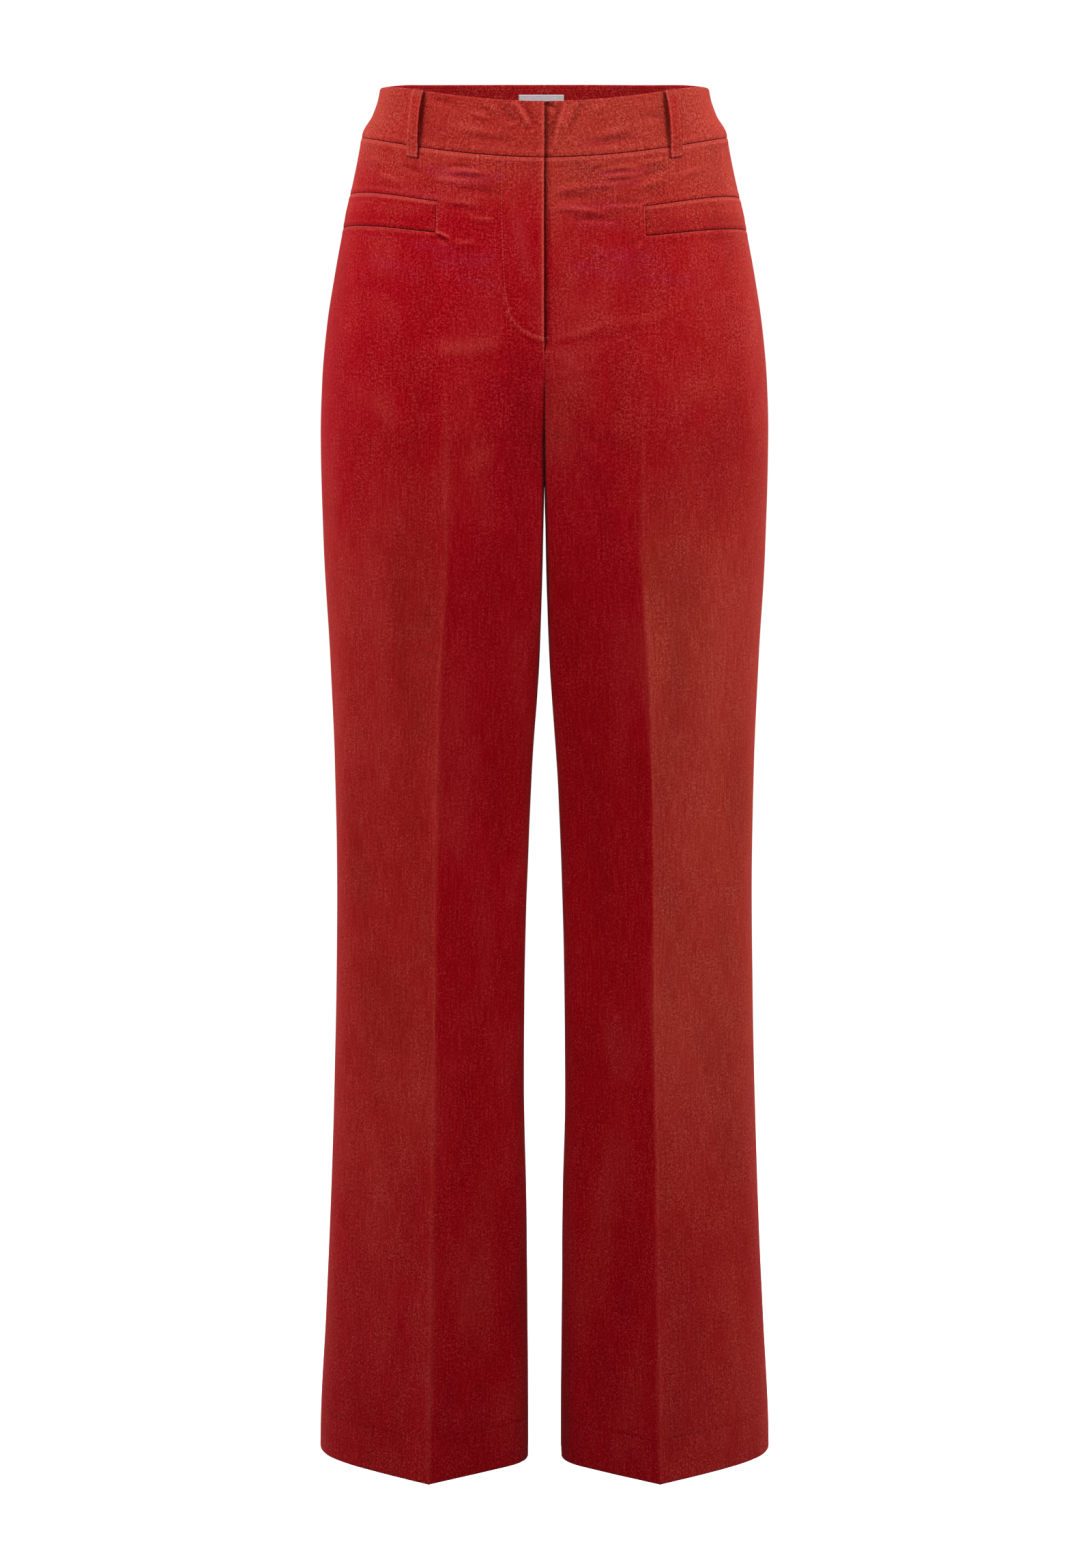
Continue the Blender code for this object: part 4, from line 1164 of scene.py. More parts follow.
def brushed_and_sheen_amount(side, from_side, to_fold, drop):
    """How far the pile is brushed down, with painted sheen added, from 0 to 1, and below 0 where
    zones may not reach.
    """
    down_leg = past(drop, *LEG_STARTS)
    to_hem = 1 - HEM_LOSS * past(drop, *HEM_STARTS)
    outer = HIP_BRUSHED[side] * (1 - down_leg) + OUTER_BRUSHED_AND_SHEEN[side] * down_leg * to_hem
    inner = HIP_BRUSHED[side] * INNER_HIP * (1 - down_leg) + INNER_BRUSHED * down_leg
    blur = FOLD_BLUR + HIP_BLUR * (1 - down_leg)
    past_fold = smooth((from_side - to_fold) / blur + 0.5)
    amount = outer * (1 - past_fold) + inner * past_fold
    # painted sheen at the waist and next to the side seams
    waist = WAIST_PAINTED_SHEEN[side] * (1 - past(drop, WAIST_ENDS[side], WAIST_FADE))
    edge = EDGE_PAINTED_SHEEN[side] * np.exp(-from_side / EDGE_REACH[side]) * (1 - EDGE_LOSS * down_leg)
    waist_side = SIDE_WAIST_PAINTED_SHEEN[side] * bell(from_side, SIDE_WAIST_REACH)
    waist_side = waist_side * (1 - past(drop, *SIDE_WAIST_ENDS))
    return np.clip(amount + waist + edge + waist_side, *BRUSHED_RANGE)


def line_distance(line, from_fold, drop):
    """Distance from each point to a line of points on the flat cloth."""
    best = np.full(from_fold.shape, 1.0)
    for (x0, d0), (x1, d1) in zip(line, line[1:]):
        sx, sd = x1 - x0, d1 - d0
        t = np.clip(((from_fold - x0) * sx + (drop - d0) * sd) / (sx * sx + sd * sd), 0, 1)
        best = np.minimum(best, np.hypot(from_fold - x0 - t * sx, drop - d0 - t * sd))
    return best


def pile_lie_and_painted_light(side, half, drop, share, shade):
    """Brushed amount with painted sheen, crushed amount, painted shade and liveliness of the pile,
    as a colour.
    """
    from_side = length_at(half, drop, share)
    to_fold = length_at(half, drop, np.ones_like(drop))
    brushed_and_sheen = brushed_and_sheen_amount(side, from_side, to_fold, drop)
    crushed = np.zeros_like(brushed_and_sheen)
    for smear in SMEARS[side] if half == "front" else ():
        gap = line_distance(run_on_cloth(half, smear), to_fold - from_side, drop)
        crushed = np.maximum(crushed, smear.amount * bell(gap, smear.width))
    calm = past(drop, *CALM_STARTS) - CALM_LOSS * past(drop, *CALM_ENDS)
    # blue carries the painted shade and highlight
    return np.stack([brushed_and_sheen, crushed, 0.5 + 0.5 * shade, 1 - CALM_LEGS * calm], axis=-1)


print("smears:", {side: len(rows) for side, rows in SMEARS.items()})

# %% [markdown]
# ## Where the rows and columns of a panel run
#
# The grid is fine where the form is fine: several lines lie within the first millimetres of
# every seam, welt and fold, and even steps fill the rest. The pocket slit needs lines of its
# own on both fronts, and those rows rise a little from the side seam inwards, as the slit
# does.

# %% Stations
Welt = namedtuple("Welt", "top bottom inner rise")
WELTS = {
    "right": Welt(0.0838, 0.1090, 0.0815, 0.0055),
    "left": Welt(0.0865, 0.1110, 0.0760, 0.0050),
}
SEAM_STATIONS = np.array([0.0, 0.0004, 0.0010, 0.0020, 0.0034])
FOLD_STATIONS = np.array([0.0, 0.0009, 0.0020, 0.0034])
FINE_STEP = 0.0019
COARSE_STEP = 0.0034
FINE_ENDS = 0.30
CLOSE_SHARE = 0.4
SIDE_COLUMNS = 46
FOLD_COLUMNS = 3
MIDDLE_COLUMNS = 38


def stations(start, end, near_start, near_end, count):
    """Places along each row from start to end: close at both ends, even between."""
    length = end - start
    widest = max(near_start[-1], near_end[-1])
    fit = np.minimum(1.0, CLOSE_SHARE * length / widest)[..., None]
    first = start[..., None] + fit * near_start
    last = end[..., None] - fit * near_end[::-1]
    t = np.linspace(0, 1, count + 2)[1:-1]
    between = first[..., -1:] + (last[..., :1] - first[..., -1:]) * t
    return np.concatenate([first, between, last], axis=-1)


def fold_to_middle(half, rows):
    """Places from the pressed fold to the middle: close at both ends, by even shares between."""
    steps = []
    for drop in rows:
        row = tape_row(half, drop)
        fold, middle = row[TAPE_FOLD], row[-1]
        fit = min(1.0, CLOSE_SHARE * (middle - fold) / FOLD_STATIONS[-1])
        first, last = fold + fit * FOLD_STATIONS, middle - fit * SEAM_STATIONS[::-1]
        ends = np.interp((first[-1], last[0]), row, TAPE_SHARES)
        shares = np.linspace(*ends, MIDDLE_COLUMNS + 2)[1:-1]
        steps.append(np.concatenate([first, np.interp(shares, TAPE_SHARES, row), last]))
    return np.array(steps)


def panel_rows(side):
    """Drops of a panel's rows, from the waist seam to the hem."""
    welt = WELTS[side]
    marks = [BAND_DEPTH, welt.top, welt.bottom, FINE_ENDS, LENGTH - HEM_DEPTH, LENGTH]
    steps = [FINE_STEP, FINE_STEP, FINE_STEP, COARSE_STEP, FINE_STEP]
    rows = []
    for start, end, step in zip(marks, marks[1:], steps):
        count = int((end - start - 2 * SEAM_STATIONS[-1]) / step)
        run = stations(np.array([start]), np.array([end]), SEAM_STATIONS, SEAM_STATIONS, count)[0]
        rows.extend(run if not rows else run[1:])
    return np.array(rows)


print("rows in a panel:", len(panel_rows("right")))

# %% [markdown]
# ## The four leg panels
#
# A front or back of one leg is one flat piece of velvet from the waist seam to the hem. Each
# is the frame's own wall made again with about four hundred rows, then given its seams,
# fold, creases and unevenness. The hem is turned up inside, so the wall is thicker there,
# and its lower edge is a rounded fold, not a cut.

# %% The slit, and lines on the cloth
SLIT_PEAK = 0.75
SLIT_SAG = 0.16
SLIT_SAG_LENGTH = 0.35
SLIT_PAST = 1.25
SLIT_FADES = 0.18
CUTS = 3
CURVE_SPOTS = 60


def slit_share(side):
    """Share at the inner end of the pocket slit."""
    welt = WELTS[side]
    return share_at("front", (welt.top + welt.bottom) / 2, welt.inner)


print("slits end at shares:", {side: round(slit_share(side), 3) for side in SIDES})


def slit_rise(side, drop, share, last_share):
    """How much higher than at the side seam the slit, and the rows beside it, lie at a share."""
    welt = WELTS[side]
    t = np.clip(share / last_share, 0, SLIT_PAST)
    sag = SLIT_SAG * past(t, SLIT_PEAK, SLIT_SAG_LENGTH)
    along = np.sin(math.pi / 2 * np.minimum(t / SLIT_PEAK, 1.0)) - sag
    above = past(drop, BAND_DEPTH, welt.top - BAND_DEPTH)
    below = 1 - past(drop, welt.bottom, SLIT_FADES - welt.bottom)
    return welt.rise * along * above * below


def groove(distance, depth, width):
    """Soft valley that a tight row of stitches pulls into the cloth."""
    return -depth * bell(distance, width)


def eased_line(points, count):
    """The line through a few points, rounded off and resampled."""
    points = np.array(points)
    for _ in range(CUTS):
        cut = np.empty((2 * len(points) - 2, 2))
        cut[0::2] = points[:-1] * 0.75 + points[1:] * 0.25
        cut[1::2] = points[:-1] * 0.25 + points[1:] * 0.75
        points = np.vstack([points[:1], cut, points[-1:]])
    run = np.concatenate([[0.0], np.cumsum(np.linalg.norm(np.diff(points, axis=0), axis=1))])
    at = np.linspace(0, run[-1], count)
    return np.column_stack([np.interp(at, run, points[:, 0]), np.interp(at, run, points[:, 1])])


# %% [markdown]
# The fly's stitches run straight down and then curve in to the middle. They pull a groove
# into the cloth, and where the line turns, the cloth swells just past it. Each back takes
# one dart in its waist. All three are lines on the flat cloth.

# %% Fly and darts
FLY_STITCHES = ((0.0322, 0.041), (0.0322, 0.055), (0.0312, 0.120), (0.0287, 0.164),
                (0.0216, 0.177), (0.0106, 0.184), (0.0010, 0.187))
FLY_GROOVE = (0.00024, 0.0009)
FLY_RIDGE = 0.00062
FLY_RIDGE_WIDTH = 0.0011
FLY_RIDGE_PAST = (0.0009, 0.0013)
FLY_TURNS = (0.150, 0.022)
DART_LENGTH = 0.105
DART_TOP = 0.0720
DART_TIP = 0.0680
DART_GROOVE = (0.0007, 0.0009)
DART_FADE = 0.03

fly_line = eased_line(on_cloth("front", FLY_STITCHES), CURVE_SPOTS)
fly_ridge = [(x + FLY_RIDGE_PAST[0], drop + FLY_RIDGE_PAST[1]) for x, drop in fly_line]
dart_line = on_cloth("back", ((DART_TOP, BAND_DEPTH), (DART_TIP, BAND_DEPTH + DART_LENGTH)))


def fly_relief(from_fold, drop):
    """Groove of the fly's stitches, and the swelling past their turn."""
    ridge = FLY_RIDGE * bell(line_distance(fly_ridge, from_fold, drop), FLY_RIDGE_WIDTH)
    stitches = groove(line_distance(fly_line, from_fold, drop), *FLY_GROOVE)
    return stitches + past(drop, *FLY_TURNS) * ridge


def dart_relief(from_fold, drop):
    """Groove of the dart, which fades out at its tip."""
    tip = smooth((BAND_DEPTH + DART_LENGTH - drop) / DART_FADE)
    return tip * groove(line_distance(dart_line, from_fold, drop), *DART_GROOVE)


print("fly line:", len(fly_line), "spots, dart:", DART_LENGTH, "m")

# %% [markdown]
# The finished face of a panel is the bare face plus everything above. Near a seam the
# creases and the unevenness fade out, because both cloths have to meet there. Its painted
# shade comes from the relief, with a thin painted dark line at the hem's stitches, a painted
# highlight along the lapping edge of the fly, a painted shadow that this edge throws on the
# cloth beneath it, and a painted dark line in the gap between the fronts.

# %% Surface of a panel
SEAM_HOLD = 0.007
HEM_GROOVE = (0.00006, 0.0011)
# Painted shade and highlight: a dark line in the hem's groove, a highlight along the fly's lapping
# edge, a dark line in the gap between the fronts, and a painted shadow under the lap.
HEM_DARK = 0.16
HEM_DARK_WIDTH = 0.0009
CLOSING = 0.006
CLOSED_EDGE = 0.65
EDGE_HIGHLIGHT_AT = 0.0010
EDGE_HIGHLIGHT_WIDTH = 0.0007
EDGE_DARK = 1.2
EDGE_DARK_WIDTH = 0.0005
LAP_SHADOW = 0.60
LAP_SHADOW_WIDTH = 0.0010
EDGE_ROUND = 0.48


def held_at_seams(*distances):
    """1 on the open cloth and 0 at a seam, where both cloths have to meet."""
    nearest = np.minimum.reduce(np.broadcast_arrays(*distances))
    return smooth(nearest / SEAM_HOLD)


def panel_relief(side, half, x_own, drop, share, closed):
    """Height of everything that is pressed, creased or sewn into a panel."""
    from_side = length_at(half, drop, share)
    from_middle = np.abs(whole_at(half, drop) - from_side)
    from_fold = from_fold_at(half, drop, share)
    relief = seam(from_side) + pressed_fold(half, drop, from_fold)
    relief += seam(drop - BAND_DEPTH)
    relief += groove(drop - (LENGTH - HEM_DEPTH), *HEM_GROOVE)
    held = held_at_seams(from_side, from_middle, drop - BAND_DEPTH)
    relief += held * crease_relief(half, PANEL_CREASES[side, half], from_fold, drop)
    relief += held * uneven(seed_of(PANEL_SEEDS, side, half), from_fold, drop)
    if half == "back":
        return relief + dart_relief(from_fold, drop)
    relief += lap(side, half, x_own, drop, LAP_TUCK)
    if side == "right":
        relief -= (1 - closed) * rolled_in(from_middle, CLOTH * EDGE_ROUND)
        relief += fly_relief(from_fold, drop)
    return relief


def panel_surface(side, half, drop, share):
    """Finished outer face of a panel: points, normals and the painted shade."""
    points, normals = face(side, half, drop, share)
    from_side = length_at(half, drop, share)
    from_middle = np.abs(whole_at(half, drop) - from_side)
    closed = np.ones_like(drop) if half == "back" else past(drop, FLY_END, CLOSING)
    relief = panel_relief(side, half, points[..., 0] * SIDE_SIGN[side], drop, share, closed)
    # painted shade and highlight from the relief and below the waist seam
    shade = painted_shade_of_relief(relief, drop, from_side, drop - BAND_DEPTH) + lip_highlight(drop - BAND_DEPTH)
    shade -= HEM_DARK * bell(drop - LENGTH + HEM_DEPTH, HEM_DARK_WIDTH)
    # painted highlight on the lapping edge, painted shadow under it, dark line in the gap
    if half == "front":
        open_edge = CLOSED_EDGE + (1 - CLOSED_EDGE) * (1 - closed)
        if side == "right":
            shade += open_edge * bell(from_middle - EDGE_HIGHLIGHT_AT, EDGE_HIGHLIGHT_WIDTH)
        else:
            shade -= open_edge * LAP_SHADOW * np.exp(-from_middle / LAP_SHADOW_WIDTH)
        shade -= EDGE_DARK * bell(from_middle, EDGE_DARK_WIDTH)
    middle_seam = closed * seam(from_middle)
    straight_back = np.array([0.0, HALF_SIGN[half], 0.0])
    seam_way = np.where((drop < CROTCH)[..., None], straight_back, normals)
    points = points + normals * relief[..., None] + seam_way * middle_seam[..., None]
    return points, normals, np.clip(shade, -1, 1)


# %% [markdown]
# The slit for the pocket welt is a hole in the grid: its cells are left out, and the cloth
# round it rolls in as at any seam. The left front goes on past the middle, as the extension
# under the fly.

# %% Panels
UNDERLAP_COLUMNS = 8
ROUNDING = 1e-9


def roll_round_slit(side, places, to_slit, rows, points, normals, drops, shade):
    """The panel's points and painted shade with the seam round the pocket slit."""
    welt = WELTS[side]
    beside = np.maximum(places - to_slit[:, None], 0)
    above = np.maximum(np.maximum(welt.top - rows, rows - welt.bottom), 0)[:, None]
    gap = np.hypot(beside, above)
    relief = seam(gap)
    dark = np.where(beside > above, 0.0, SEAM_DARK)
    shade = np.clip(shade + painted_shade_of_relief(relief, drops, gap, dark=dark), -1, 1)
    return points + normals * relief[..., None], shade


def panel_places(half, rows, to_fold, to_slit):
    """Places of the columns on each row, from the side seam to the middle."""
    start = np.zeros(len(rows))
    to_middle = fold_to_middle(half, rows)[:, 1:]
    if half == "back":
        count = SIDE_COLUMNS + FOLD_COLUMNS
        to_side = stations(start, to_fold, SEAM_STATIONS, FOLD_STATIONS, count)
        return np.hstack([to_side, to_middle])
    return np.hstack([
        stations(start, to_slit, SEAM_STATIONS, SEAM_STATIONS, SIDE_COLUMNS),
        stations(to_slit, to_fold, SEAM_STATIONS[:3], FOLD_STATIONS[:3], FOLD_COLUMNS)[:, 1:],
        to_middle,
    ])


def panel(side, half):
    """One front or back of a leg."""
    name = f"{half}_{side}"
    front = half == "front"
    laps_under = (side, half) == ("left", "front")
    rows = panel_rows(side)
    lengths = np.array([tape_row(half, drop) for drop in rows])
    whole, to_fold = lengths[:, -1], lengths[:, TAPE_FOLD]
    slit = slit_share(side)
    to_slit = length_at(half, rows, np.full(len(rows), slit))
    places = panel_places(half, rows, to_fold, to_slit)
    shares = np.array([np.interp(p, row, TAPE_SHARES) for p, row in zip(places, lengths)])
    middle_column = shares.shape[1] - 1
    if laps_under:
        steps = np.linspace(0, UNDERLAP, UNDERLAP_COLUMNS + 1)[1:]
        more = np.array([np.interp(w - steps, row, TAPE_SHARES) for w, row in zip(whole, lengths)])
        shares = np.hstack([shares, 4 - more])
        places = np.hstack([places, whole[:, None] + steps])
    drops = np.repeat(rows[:, None], shares.shape[1], axis=1)
    keep = np.ones((shares.shape[0] - 1, shares.shape[1] - 1), dtype=bool)
    if front:
        welt = WELTS[side]
        slit_column = len(SEAM_STATIONS) * 2 + SIDE_COLUMNS - 1
        in_slit = (rows[:-1] >= welt.top - ROUNDING) & (rows[1:] <= welt.bottom + ROUNDING)
        keep[in_slit, :slit_column] = False
        drops = drops - slit_rise(side, drops, shares, slit)
    if laps_under:
        keep[rows[1:] > FLY_END + EXTENSION_PAST, middle_column:] = False
    points, normals, shade = panel_surface(side, half, drops, shares)
    if front:
        points, shade = roll_round_slit(
            side, places, to_slit, rows, points, normals, drops, shade)
    wall = np.where(rows >= LENGTH - HEM_DEPTH, HEM_WALL, CLOTH)[:, None, None]
    inner = points - normals * wall
    hem = rolled_in(LENGTH - rows, HEM_WALL * EDGE_ROUND)[:, None, None]
    points = points - normals * hem
    inner = inner + normals * hem
    cloth_uv = np.stack([to_fold[:, None] - places, drops], axis=-1)
    pile = pile_lie_and_painted_light(side, half, drops, shares, shade)
    velvet_here = velvet_of[f"panels_{side}"]
    piece = shell(f"{name}_cloth", points, inner, cloth_uv, normals, velvet_here, keep, pile)
    flat = (float(whole.max()), float(LENGTH - BAND_DEPTH))
    settle(piece, name, flat)
    return piece


panels = {(side, half): panel(side, half) for side in SIDES for half in HALF_SIGN}

# %% [markdown]
# ## The waistband
#
# The band is a doubled strip, folded along its top edge and joined at the middle of the
# back. Its top edge is therefore a soft fold and its lower edge a seam. The right half ends
# flush with the fly, and the left half goes on under it. Where the hidden fastening pulls,
# the band shows its sharpest creases.

# %% Waistband
BAND_STEP = 0.0012
BAND_COLUMN_STEP = 0.0016
BAND_UNEVEN = 0.6
BAND_UNEVEN_DOWN = 2
BAND_EDGE_HIGHLIGHT = 0.6
BAND_END_ROUND = 0.45
BAND_UNDERLAP_COLUMNS = 12
SHOULDER_FADE = 0.022
SHOULDER_RUN = 0.062
SHOULDER_SINK = 0.0012
SHOULDER_REACH = 0.010
SHOULDER_SLOPE = 0.0021


def band_surface(side, half, drop, share):
    """Finished outer face of the band: points, normals and the painted shade."""
    points, normals = face(side, half, drop, share)
    from_side = length_at(half, drop, share)
    from_middle = whole_at(half, drop) - from_side
    relief = seam(BAND_DEPTH - drop)
    held = held_at_seams(from_side, BAND_DEPTH - drop)
    if half == "back":
        held = held * held_at_seams(from_middle)
    from_fold = from_fold_at(half, drop, share)
    relief += held * crease_relief(half, BAND_CREASES[side, half], from_fold, drop)
    seed = seed_of(BAND_SEEDS, side, half)
    relief += held * BAND_UNEVEN * uneven(seed, from_fold, drop * BAND_UNEVEN_DOWN)
    if half == "front":
        relief += lap(side, half, points[..., 0] * SIDE_SIGN[side], drop, BAND_LAP_TUCK)
        if side == "right":
            relief -= rolled_in(np.abs(from_middle), BAND_WALL * BAND_END_ROUND)
    else:
        relief += seam(np.abs(from_middle))
    # painted shade from the relief, a painted highlight on the lapping end and a painted shadow
    # under it
    shade = painted_shade_of_relief(relief, drop, BAND_DEPTH - drop)
    if half == "front" and side == "right":
        shade += BAND_EDGE_HIGHLIGHT * bell(from_middle - EDGE_HIGHLIGHT_AT, EDGE_HIGHLIGHT_WIDTH)
    elif half == "front":
        shade -= LAP_SHADOW * np.exp(-np.abs(from_middle) / (2 * LAP_SHADOW_WIDTH))
    points = points + normals * relief[..., None]
    sink = SHOULDER_SINK * bell(from_side, SHOULDER_REACH)
    slope = SHOULDER_SLOPE * (1 - smooth(from_side / SHOULDER_RUN))
    points[..., 2] -= (1 - smooth(drop / SHOULDER_FADE)) * (sink + slope)
    return points, normals, np.clip(shade, -1, 1)


def band_shares(half, drops, laps_under=False):
    """Shares of even steps along the band, for each row, and their lengths from the side."""
    out = []
    lengths = []
    count = int(tape_row(half, 0.0)[-1] / BAND_COLUMN_STEP)
    steps = np.linspace(0, UNDERLAP, BAND_UNDERLAP_COLUMNS + 1)[1:]
    for drop in drops:
        row = tape_row(half, drop)
        ends = np.array([0.0]), np.array([row[-1]])
        run = stations(*ends, SEAM_STATIONS[:2], SEAM_STATIONS, count)[0]
        share = np.interp(run, row, TAPE_SHARES)
        if laps_under:
            share = np.concatenate([share, 4 - np.interp(row[-1] - steps, row, TAPE_SHARES)])
            run = np.concatenate([run, row[-1] + steps])
        out.append(share)
        lengths.append(run)
    return np.array(out), np.array(lengths)


def waistband(side):
    """Half the band, from the middle of the back round the side to the closure."""
    count = int((BAND_DEPTH - 2 * SEAM_STATIONS[-1]) / BAND_STEP)
    ends = np.array([0.0]), np.array([BAND_DEPTH])
    rows = stations(*ends, SEAM_STATIONS, SEAM_STATIONS, count)[0]
    back_share, back_length = band_shares("back", rows)
    front_share, front_length = band_shares("front", rows, laps_under=side == "left")
    back_drop = np.repeat(rows[:, None], back_share.shape[1], axis=1)
    front_drop = np.repeat(rows[:, None], front_share.shape[1], axis=1)
    back_points, back_normals, back_shade = band_surface(side, "back", back_drop, back_share)
    front_points, front_normals, front_shade = band_surface(side, "front", front_drop, front_share)
    back_points[:, 0, 1] = 0.0
    points = np.concatenate([back_points[:, ::-1], front_points[:, 1:]], axis=1)
    normals = np.concatenate([back_normals[:, ::-1], front_normals[:, 1:]], axis=1)
    along = np.concatenate([-back_length[:, ::-1], front_length[:, 1:]], axis=1)
    inner = points - normals * BAND_WALL
    top = rolled_in(rows, BAND_WALL * EDGE_ROUND)[:, None, None]
    points = points - normals * top
    inner = inner + normals * top
    cloth_uv = np.stack([along, np.repeat(rows[:, None], along.shape[1], axis=1)], axis=-1)
    name = f"waistband_{side}"
    pile = np.concatenate([
        pile_lie_and_painted_light(side, "back", back_drop, back_share, back_shade)[:, ::-1],
        pile_lie_and_painted_light(side, "front", front_drop, front_share, front_shade)[:, 1:],
    ], axis=1)
    piece = shell(f"{name}_cloth", points, inner, cloth_uv, normals, velvet_of["band"], pile=pile)
    run = float((along[:, -1] - along[:, 0]).mean())
    settle(piece, name, (run, BAND_DEPTH))
    return piece


waistbands = {side: waistband(side) for side in SIDES}

# %% [markdown]
# ## The pocket welts
#
# Each welt is a flush strip that fills its slit. It is doubled cloth, so it lies a little
# fuller than the panel: its middle swells, and its edges roll into the seam round it.

# %% Pocket welts
WELT_SWELL = 0.0005
WELT_END = 0.008
WELT_SHADE = 0.12
WELT_ROWS = 14
WELT_COLUMNS = 60


def pocket_welt(side):
    """The strip that fills the slit in the front's side edge."""
    welt = WELTS[side]
    slit = slit_share(side)
    top, bottom = welt.top, welt.bottom
    edges = np.array([top]), np.array([bottom])
    rows = stations(*edges, SEAM_STATIONS, SEAM_STATIONS, WELT_ROWS)[0]
    lengths = np.array([tape_row("front", drop) for drop in rows])
    ends = length_at("front", rows, np.full(len(rows), slit))
    places = stations(np.zeros(len(rows)), ends, SEAM_STATIONS, SEAM_STATIONS, WELT_COLUMNS)
    shares = np.array([np.interp(p, row, TAPE_SHARES) for p, row in zip(places, lengths)])
    drops = np.repeat(rows[:, None], shares.shape[1], axis=1)
    risen = drops - slit_rise(side, drops, shares, slit)
    points, normals = face(side, "front", risen, shares)
    down = np.minimum(rows - top, bottom - rows)[:, None]
    in_from_end = ends[:, None] - places
    swell = WELT_SWELL * np.sin(math.pi * (rows - top) / (bottom - top))[:, None]
    relief = swell * smooth(in_from_end / WELT_END) + seam(down) + seam(in_from_end) + seam(places)
    from_middle = whole_at("front", risen) - length_at("front", risen, shares)
    held = held_at_seams(places, from_middle, risen - BAND_DEPTH)
    from_fold = from_fold_at("front", risen, shares)
    relief += held * uneven(seed_of(PANEL_SEEDS, side, "front"), from_fold, risen)
    points = points + normals * relief[..., None]
    name = f"pocket_welt_{side}"
    cloth_uv = np.stack([places, drops], axis=-1)
    # painted shade and highlight from the relief, a painted highlight below the top edge, and the
    # whole welt painted a little darker
    shade = painted_shade_of_relief(relief, risen, down) + lip_highlight(drops - top) - WELT_SHADE
    pile = pile_lie_and_painted_light(side, "front", risen, shares, np.clip(shade, -1, 1))
    inner = points - normals * CLOTH
    piece = shell(f"{name}_cloth", points, inner, cloth_uv, normals, velvet_of["trims"], pile=pile)
    flat = (float(ends.mean()), bottom - top)
    settle(piece, name, flat)
    return piece


for welt_side in SIDES:
    pocket_welt(welt_side)

# %% [markdown]
# ## The belt loops
#
# A belt loop is a narrow strip folded into a strap, turned under at both ends and sewn down
# there, so it stands off the band between them and casts a thin shadow, and a shadow is also
# painted along its right edge. Its long edges are folds and its ends curl down to the cloth.

# %% Belt loops
LOOP_WIDTH = 0.011
LOOP_LENGTH = 0.0485
LOOP_WALL = 0.0016
LOOP_STAND = 0.0026
LOOP_LAST_STITCH = 0.86
LOOP_ARCH = 0.6
LOOP_GAP = 0.0004
LOOP_CROWN = 0.00018
LOOP_WAVE = 0.00010
LOOP_WAVES = 31
LOOP_SIDE_ROUND = 0.46
LOOP_THINNEST = 0.0001
LOOP_ROWS = 61
LOOP_EDGE_PLACES = np.array([0.0, 0.0003, 0.0008])
LOOP_INNER_PLACES = (0.0016, 9)
LOOP_PLACES = {"front": (0.0930, 0.0985), "back": (0.0340, 0.0350)}
LOOP_RISE = {"front": 0.0006, "back": -0.0010}


def loop_columns():
    """Places across the strap, close together at its long edges."""
    edge = LOOP_WIDTH / 2
    inset, count = LOOP_INNER_PLACES
    first = LOOP_EDGE_PLACES - edge
    return np.concatenate([first, np.linspace(inset - edge, edge - inset, count), -first[::-1]])


print("columns across a loop:", len(loop_columns()))


def loop_heights(side, over, t):
    """Heights of the strap's outer and inner face over the cloth, at one row."""
    lift = LOOP_GAP + LOOP_STAND * math.sin(math.pi * min(t / LOOP_LAST_STITCH, 1.0)) ** LOOP_ARCH
    end = min(t, 1 - t) * LOOP_LENGTH
    fold = float(rolled_in(np.array(end), LOOP_WALL * EDGE_ROUND))
    side_fold = rolled_in(LOOP_WIDTH / 2 - np.abs(over), LOOP_WALL * LOOP_SIDE_ROUND)
    crown = LOOP_CROWN * np.cos(over / LOOP_WIDTH * math.pi)
    tuft = crown + LOOP_WAVE * math.sin(t * LOOP_WAVES + 2 * SIDE_SIGN[side])
    outer = lift + LOOP_WALL + tuft - fold - side_fold
    inner = lift + np.minimum(fold + side_fold, LOOP_WALL * EDGE_ROUND)
    return outer, np.minimum(inner, outer - LOOP_THINNEST)


# %% [markdown]
# The strap's folded edges get a painted highlight, with a painted dark line outside it.
# Along its right edge, as we look at the front, a shadow is painted.

# %% Painted shade and making of a loop
LOOP_BRUSHED = 0.62
# Painted shade and highlight of the strap: dark lines along its edges, a painted shadow along its
# right edge, and highlights inside its edges and ends.
LOOP_EDGE_DARK = 0.9
LOOP_SHADOW = 0.7
LOOP_SHADOW_AT = 0.0006
LOOP_SHADOW_WIDTH = 0.0007
Rim = namedtuple("Rim", "tips at width dark_width")
LOOP_SIDES = Rim(0.65, 0.0012, 0.0008, 0.0005)
LOOP_ENDS = Rim(0.40, 0.0016, 0.0010, 0.0006)


def rim_shade(rim, distance):
    """Painted highlight along a folded edge and the painted dark line outside it."""
    tips = rim.tips * bell(distance - rim.at, rim.width)
    return tips - LOOP_EDGE_DARK * bell(distance, rim.dark_width)


def loop_shade(side, over, t):
    """Painted shade and highlight of the strap at one row, from 0 to 1."""
    edge = LOOP_WIDTH / 2
    viewed = over * (1 if side == "right" else -1)
    # painted shadow along the right edge, as we look at it
    shadow = LOOP_SHADOW * bell(viewed - edge + LOOP_SHADOW_AT, LOOP_SHADOW_WIDTH)
    rims = rim_shade(LOOP_SIDES, edge - np.abs(over)) - shadow
    ends = rim_shade(LOOP_ENDS, min(t, 1 - t) * LOOP_LENGTH)
    return 0.5 + 0.5 * np.clip(rims + ends, -1, 1)


